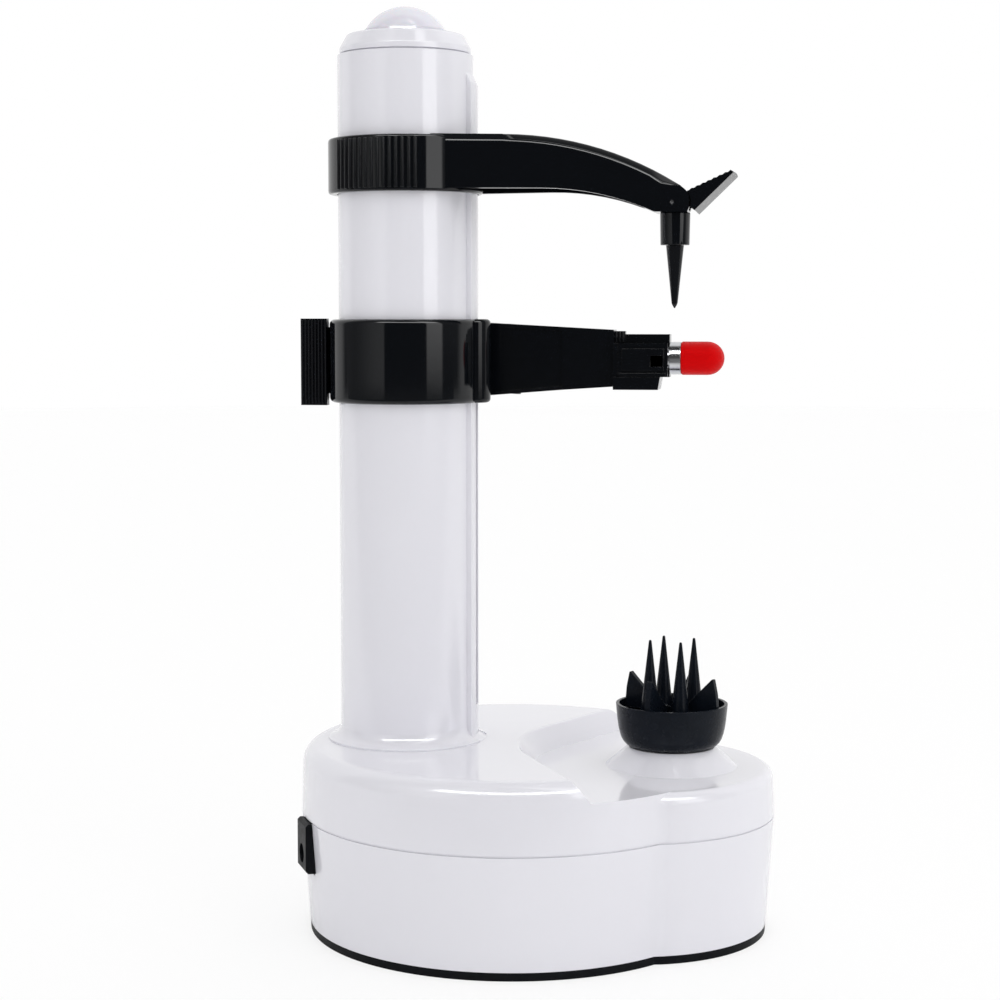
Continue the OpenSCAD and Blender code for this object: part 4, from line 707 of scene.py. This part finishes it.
class PEELER_OT_column(bpy.types.Operator):
    """Column: tube, guide rail, cap and start button"""
    bl_idname = "peeler.column"
    bl_label = "Column"

    def execute(self, context):
        made, edges = all_materials(), context.scene.peeler_edges
        spigot, top = (corner.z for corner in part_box("column_cap"))
        seam = top - CAP_SEAM
        tube_end = seam + TUBE_DROP - NEAR
        dress("column_tube", "base", "white_shell", made["shell"], edges.small, lambda tube:
              move_points(tube, lambda p: p.z > tube_end, (0, 0, -TUBE_DROP)))
        rail_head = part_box("guide_rail")[1].z - RAIL_HEAD
        dress("guide_rail", "base", "white_shell", made["shell"], edges.small, lambda rail:
              move_points(rail, lambda p: p.z > rail_head, (0, 0, RAIL_LIFT)))
        cap = turned("column_cap_turned", (COLUMN.x, 0, 0), [
            (radius * MM, spigot if height is None else seam + height * MM)
            for radius, height in CAP_PROFILE], steps=160, ring=True)
        round_edges(cap, edges.small, 20)
        smooth(cap)
        finish(cap, "base", "white_shell", made["shell"], "column_cap")
        dome_foot, dome_edge, dome_top = seam + 4 * MM, 11 * MM, top + 0.2 * MM
        dress("start_button", "button", "button_grey", made["button"], shape=lambda dome:
              resize_points(dome, lambda p: p.z > dome_foot and off_axis(p, COLUMN) > dome_edge
                            or p.z > dome_top,
                            (DOME_GROWTH, DOME_GROWTH, 1), (COLUMN.x, 0, 0)))
        return {"FINISHED"}


class PEELER_OT_food_arm(bpy.types.Operator):
    """Food arm with its spike and thumb lever"""
    bl_idname = "peeler.food_arm"
    bl_label = "Food arm"

    def execute(self, context):
        made, edges = all_materials(), context.scene.peeler_edges
        arm = copy_of("food_arm", "food_arm_moulded")
        chamfer_back(arm, edges.arm)
        round_edges(arm, edges.small)
        smooth(arm)
        finish(arm, "food_holder", "black_gloss", made["black"], "food_arm")
        finish(self.band(), "food_holder", "black_gloss", made["black"])
        finish(self.grip(), "food_holder", "black_gloss", made["grip"])
        dress("spike_cup", "food_holder", "black_gloss", made["black"], edges.small)
        finish(self.spike(), "spike", "black_gloss", made["black"], "spike")
        dress("thumb_lever", "lever", "black_gloss", made["black"], edges.small / 2, self.sole)
        dress("lever_pin", "food_holder", "steel", made["steel"], edges.small)
        coat("steel", "lever_spring")
        return {"FINISHED"}

    @staticmethod
    def spike():
        """Spike with a blunt tip, whose shank goes up into its cup."""
        low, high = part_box("spike")
        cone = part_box("spike_cup")[0].z - low.z - 0.05 * MM
        wide = (high.x - low.x) / 2
        shank = wide * 0.6
        spike = turned("spike_turned", (TURN.x, TURN.y, low.z), [
            *((radius * MM, height * MM) for radius, height in SPIKE_TIP),
            (wide - 0.04 * MM, cone - 0.25 * MM), (wide, cone - 0.1 * MM), (wide - 0.06 * MM, cone),
            (shank, cone), (shank, high.z - low.z)])
        smooth(spike)
        return spike

    @staticmethod
    def sole(piece):
        """Flattens the lever's crowned underside, one row of points after the other, and
        leaves its near edge higher."""
        slope = math.atan2(CROWN_TIP[1] - CROWN_HEEL[1], CROWN_TIP[0] - CROWN_HEEL[0])
        out = Vector((math.sin(slope), 0, -math.cos(slope)))
        slack, row_slack, row_digits = 0.03 * MM, 0.011 * MM, 5

        def sag(y):
            return CROWN_RADIUS - math.sqrt(CROWN_RADIUS * CROWN_RADIUS - y * y)

        def crowned(p):
            reach = (p.x - CROWN_HEEL[0]) * out.x + (p.z - CROWN_HEEL[1]) * out.z
            return abs(p.y) < CROWN_HALF and abs(reach + sag(p.y)) < slack

        rows = sorted({round(v.co.y, row_digits) for v in piece.data.vertices if crowned(v.co)})
        for row in rows:
            level = (rows[-1] - row) / (rows[-1] - rows[0]) * SOLE_LIFT
            move_points(piece, lambda p: crowned(p) and abs(p.y - row) < row_slack,
                        tuple(out * (sag(row) - level)))

    @staticmethod
    def band():
        """Smooth skin of the collar between its rims."""
        skin = turned("collar_band", (COLUMN.x, 0, 0), [
            (radius * MM, height * MM) for radius, height in (
                (SKIN_IN, SKIN_LOW), (SKIN_OUT, SKIN_LOW), (SKIN_OUT, SKIN_HIGH),
                (SKIN_IN, SKIN_HIGH), (SKIN_IN, SKIN_LOW))], steps=160, ring=True)
        smooth(skin)
        return skin

    @staticmethod
    def grip():
        """Soft upright ribs on both sides of the collar, over the plain ones of its frame."""
        select_none()
        for step in range(2 * RIBS):
            side = -1 if step < RIBS else 1
            angle = math.radians(side * (RIB_START + step % RIBS * RIB_SPREAD / (RIBS - 1)))
            bpy.ops.mesh.primitive_cylinder_add(
                vertices=24, radius=RIB_RADIUS, depth=RIB_LENGTH,
                location=(COLUMN.x + RIB_RING * math.cos(angle),
                          RIB_RING * math.sin(angle), RIB_MIDDLE))
            if step == 0:
                ribs = bpy.context.object
                ribs.name = "grip_ribs"
                bpy.ops.object.transform_apply(location=True)
                edit(ribs)
        object_mode()
        round_edges(ribs, RIB_ROUND)
        make_active(ribs)
        bpy.ops.object.shade_smooth_by_angle(angle=math.radians(50))
        return ribs


class PEELER_OT_carriage(bpy.types.Operator):
    """Peel carriage with its tab, its arm and the blade"""
    bl_idname = "peeler.carriage"
    bl_label = "Peel carriage"

    def execute(self, context):
        made, edges = all_materials(), context.scene.peeler_edges
        dress("peel_collar", "carriage", "black_gloss", made["black"], edges.small, self.flange)
        finish(self.post(), "carriage", "black_gloss", made["black"])
        dress("release_tab", "tab", "black_gloss", made["black"], edges.small / 2, self.thumb)
        dress("peel_arm", "arm", "black_gloss", made["black"], edges.small, self.root)
        dress("blade_holder", "arm", "black_gloss", made["black"], edges.small)
        dress("blade_cartridge", "arm", "black_gloss", made["black"], edges.small / 2)
        dress("blade", "arm", "steel", made["steel"], edges.small / 3)
        dress("blade_cap", "cap", "red_cap", made["red"])
        pin_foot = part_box("arm_pin")[0].z + 0.3 * MM
        dress("arm_pin", "carriage", "steel", made["steel"], edges.small / 2, lambda pin:
              move_points(pin, lambda p: p.z < pin_foot, (0, 0, PIN_LIFT)))
        coat("steel", "tab_pin", "arm_spring")
        return {"FINISHED"}

    @staticmethod
    def thumb(piece):
        """The tab's plate is a little taller, above and below."""
        low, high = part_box("release_tab")
        move_points(piece, lambda p: p.z > high.z - TAB_END, (0, 0, TAB_UP))
        move_points(piece, lambda p: p.z < low.z + TAB_END, (0, 0, -TAB_DOWN))

    @staticmethod
    def root(piece):
        """The arm's floor is turned up at its root, about the knee of its lower edge."""
        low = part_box("peel_arm")[0]
        slack, thick = 0.3 * MM, 2.6 * MM
        pick(piece, "VERT", lambda point: point.co.x < low.x + ROOT_RUN - slack
             and point.co.z - ROOT_RISE / ROOT_RUN * (point.co.x - low.x) < low.z + thick)
        bpy.ops.transform.rotate(value=-ROOT_LIFT / ROOT_RUN, orient_axis="Y",
                                 center_override=(low.x + ROOT_RUN, 0, low.z + ROOT_RISE))
        object_mode()

    @staticmethod
    def flange(piece):
        """The collar's two rims stand out a little more, above and below."""
        low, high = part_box("peel_collar")
        move_points(piece, lambda p: p.z > high.z - FLANGE_RIM, (0, 0, FLANGE_UP))
        move_points(piece, lambda p: p.z < low.z + FLANGE_RIM, (0, 0, -FLANGE_DOWN))

    @staticmethod
    def post():
        """Upright post at the collar's front edge, beside the root of the arm."""
        low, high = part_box("peel_collar")
        select_none()
        bpy.ops.mesh.primitive_cylinder_add(
            vertices=96, radius=POST_RADIUS, depth=high.z - low.z + POST_MORE,
            location=(COLUMN.x + POST_X, POST_Y, (low.z + high.z) / 2))
        piece = bpy.context.object
        piece.name = "collar_post"
        bpy.ops.object.transform_apply(location=True)
        edit(piece)
        bpy.ops.mesh.select_all(action="SELECT")
        bpy.ops.mesh.bisect(plane_co=(COLUMN.x + POST_BACK, 0, 0), plane_no=(1, 0, 0),
                            use_fill=True, clear_inner=True)
        object_mode()
        bevel_edges(piece, POST_ROUND, 4, lambda place, first, second:
                    max(first.z, second.z, -first.z, -second.z) > 0.9
                    and min(first.x, second.x) > -0.5)
        smooth(piece)
        return piece


class PEELER_OT_cup(bpy.types.Operator):
    """Turntable cup with its prongs and fins"""
    bl_idname = "peeler.cup"
    bl_label = "Turntable cup"

    def execute(self, context):
        dress("turntable_cup", "turntable", "black_gloss", all_materials()["cup"],
              context.scene.peeler_edges.small / 2)
        return {"FINISHED"}


def studio_world(strength, strip_level):
    """White behind the piece, soft light for what scatters it, and a studio for mirrors."""
    world = bpy.data.worlds.new("studio")
    world.use_nodes = True
    world.node_tree.nodes.clear()
    sky = Sums(world.node_tree)
    paths = sky.node("ShaderNodeLightPath").outputs
    split = sky.node("ShaderNodeSeparateXYZ")
    sky.feed(split.inputs[0], sky.node("ShaderNodeTexCoord").outputs["Generated"])
    x, y, z = split.outputs
    heading = sky.sum("ARCTAN2", y, x)
    # Mirrors see white behind the piece and a dim room in front, with a pale wall on its
    # left, a tall strip lamp on its right, a soft box above the camera and a dim ceiling.
    # Each soft step lies between two headings in radians, or two heights of a unit sphere.
    wall_end, wall_fade = (-1.97, -1.93), (-2.9, -2.0)
    strip_left, strip_right, strip_foot = (-0.86, -0.83), (-0.44, -0.38), (-0.08, 0.03)
    box_left, box_right, box_foot, box_top = (-2.4, -2.2), (-0.5, -0.3), (0.58, 0.64), (0.74, 0.80)
    room = sky.step(y, 0.0, 0.24, 0.07, 0.95)
    ceiling = sky.step(z, 0.86, 0.98, 0.0, 0.15)
    wall = sky.sum("MULTIPLY", sky.step(heading, *wall_end, 1, 0),
                   sky.step(heading, *wall_fade, 0.25, 0.8))
    strip = sky.sum("MULTIPLY", sky.step(heading, *strip_left),
                    sky.step(heading, *strip_right, 1, 0.1), sky.step(z, *strip_foot), strip_level)
    above = sky.sum("MULTIPLY", sky.step(heading, *box_left), sky.step(heading, *box_right, 1, 0),
                    sky.step(z, *box_foot), sky.step(z, *box_top, 1, 0), 4 * strip_level)
    mirrored = sky.sum("MAXIMUM", room, ceiling, wall, strip, above)
    # Soft light is a little stronger from behind, from above and from the right.
    even = sky.sum("ADD", 1.0, sky.sum("MULTIPLY", x, 0.11), sky.sum("MULTIPLY", y, 0.17),
                   sky.sum("MULTIPLY", z, 0.08))
    mirror = sky.sum("MAXIMUM", paths["Is Glossy Ray"], paths["Is Transmission Ray"])
    level = sky.blend(mirror, sky.sum("MULTIPLY", even, strength), mirrored)
    light = sky.node("ShaderNodeBackground")
    sky.feed(light.inputs["Strength"], sky.blend(paths["Is Camera Ray"], level, 1.0))
    sky.feed(sky.node("ShaderNodeOutputWorld").inputs["Surface"], light.outputs[0])
    light.inputs["Color"].default_value = (1, 1, 1, 1)
    bpy.context.scene.world = world


def floor_material():
    """Pale floor that reads white, with the piece's soft shadow; mirrors see it end in front."""
    recipe = Recipe("pale floor")
    recipe.set(Base_Color=(0.93, 0.93, 0.93, 1), Roughness=0.6)
    paths = recipe.node("ShaderNodeLightPath").outputs
    split = recipe.node("ShaderNodeSeparateXYZ")
    recipe.feed(split.inputs[0], recipe.place)
    top = recipe.shader.outputs[0]
    # The camera sees mostly an even white; mirrors see a dim floor from some way in front.
    white_share, white, dim, dim_from, dim_to = 0.76, 1.01, 0.2, -0.34, -0.11
    for share, level in (
            (recipe.sum("MULTIPLY", paths["Is Camera Ray"], white_share), white),
            (recipe.sum("MULTIPLY", paths["Is Glossy Ray"],
                        recipe.step(split.outputs["Y"], dim_from, dim_to, 1, 0)), dim)):
        glow = recipe.node("ShaderNodeEmission")
        glow.inputs["Strength"].default_value = level
        mix = recipe.node("ShaderNodeMixShader")
        for slot, value in zip(mix.inputs, (share, top, glow.outputs[0])):
            recipe.feed(slot, value)
        top = mix.outputs[0]
    recipe.feed(recipe.nodes["Material Output"].inputs["Surface"], top)
    return recipe.material


class PEELER_OT_stage(bpy.types.Operator):
    """Stage: floor, light and camera"""
    bl_idname = "peeler.stage"
    bl_label = "Stage"

    def execute(self, context):
        stage = context.scene.peeler_stage
        select_none()
        bpy.ops.mesh.primitive_circle_add(vertices=64, radius=FLOOR_RADIUS, fill_type="NGON",
                                          location=(0, 0, FLOOR))
        floor = context.object
        floor.name = "floor"
        floor.data.materials.append(floor_material())
        studio_world(stage.sky, stage.strip)
        # The key light shapes the piece and its shadow; mirrors see the strip instead.
        lamp = bpy.data.lights.new("key", "AREA")
        lamp.size, lamp.energy = KEY_SIDE, stage.key
        key = bpy.data.objects.new("key", lamp)
        key.location = KEY_PLACE
        key.rotation_euler = (MIDDLE - Vector(KEY_PLACE)).to_track_quat("-Z", "Y").to_euler()
        key.visible_glossy = False
        context.scene.collection.objects.link(key)
        camera = bpy.data.cameras.new("camera")
        camera.sensor_width = CAMERA_SENSOR
        camera.lens = CAMERA_LENS
        camera.clip_end = FAR
        eye = bpy.data.objects.new("camera", camera)
        eye.location = CAMERA_PLACE
        flat = math.cos(CAMERA_PITCH)
        look = Vector((-math.sin(CAMERA_TURN) * flat, math.cos(CAMERA_TURN) * flat,
                       -math.sin(CAMERA_PITCH)))
        eye.rotation_euler = look.to_track_quat("-Z", "Y").to_euler()
        context.scene.collection.objects.link(eye)
        context.scene.camera = eye
        context.scene.view_settings.view_transform = "Standard"
        return {"FINISHED"}


class PEELER_PT_panel(bpy.types.Panel):
    """Lists the operators and the values"""
    bl_idname = "PEELER_PT_panel"
    bl_label = "Potato peeler"
    bl_space_type = "VIEW_3D"
    bl_region_type = "UI"
    bl_category = "Peeler"

    def draw(self, context):
        layout = self.layout
        for operator in OPERATORS:
            layout.operator(operator.bl_idname)
        for group in (context.scene.peeler_finishes, context.scene.peeler_edges,
                      context.scene.peeler_stage):
            for key in group.bl_rna.properties.keys():
                if key not in ("rna_type", "name"):
                    layout.prop(group, key)


OPERATORS = (PEELER_OT_stage, PEELER_OT_base, PEELER_OT_drive, PEELER_OT_column,
             PEELER_OT_cup, PEELER_OT_food_arm, PEELER_OT_carriage)
GROUPS = (("peeler_finishes", PeelerFinishes), ("peeler_edges", PeelerEdges),
          ("peeler_stage", PeelerStage))


def register():
    for name, group in GROUPS:
        bpy.utils.register_class(group)
        setattr(bpy.types.Scene, name, bpy.props.PointerProperty(type=group))
    for cls in (*OPERATORS, PEELER_PT_panel):
        bpy.utils.register_class(cls)


def unregister():
    for cls in reversed((*OPERATORS, PEELER_PT_panel)):
        bpy.utils.unregister_class(cls)
    for name, group in reversed(GROUPS):
        delattr(bpy.types.Scene, name)
        bpy.utils.unregister_class(group)


def main():
    register()
    for operator in OPERATORS:
        area, action = operator.bl_idname.split(".")
        getattr(getattr(bpy.ops, area), action)()


if __name__ == "__main__":
    main()
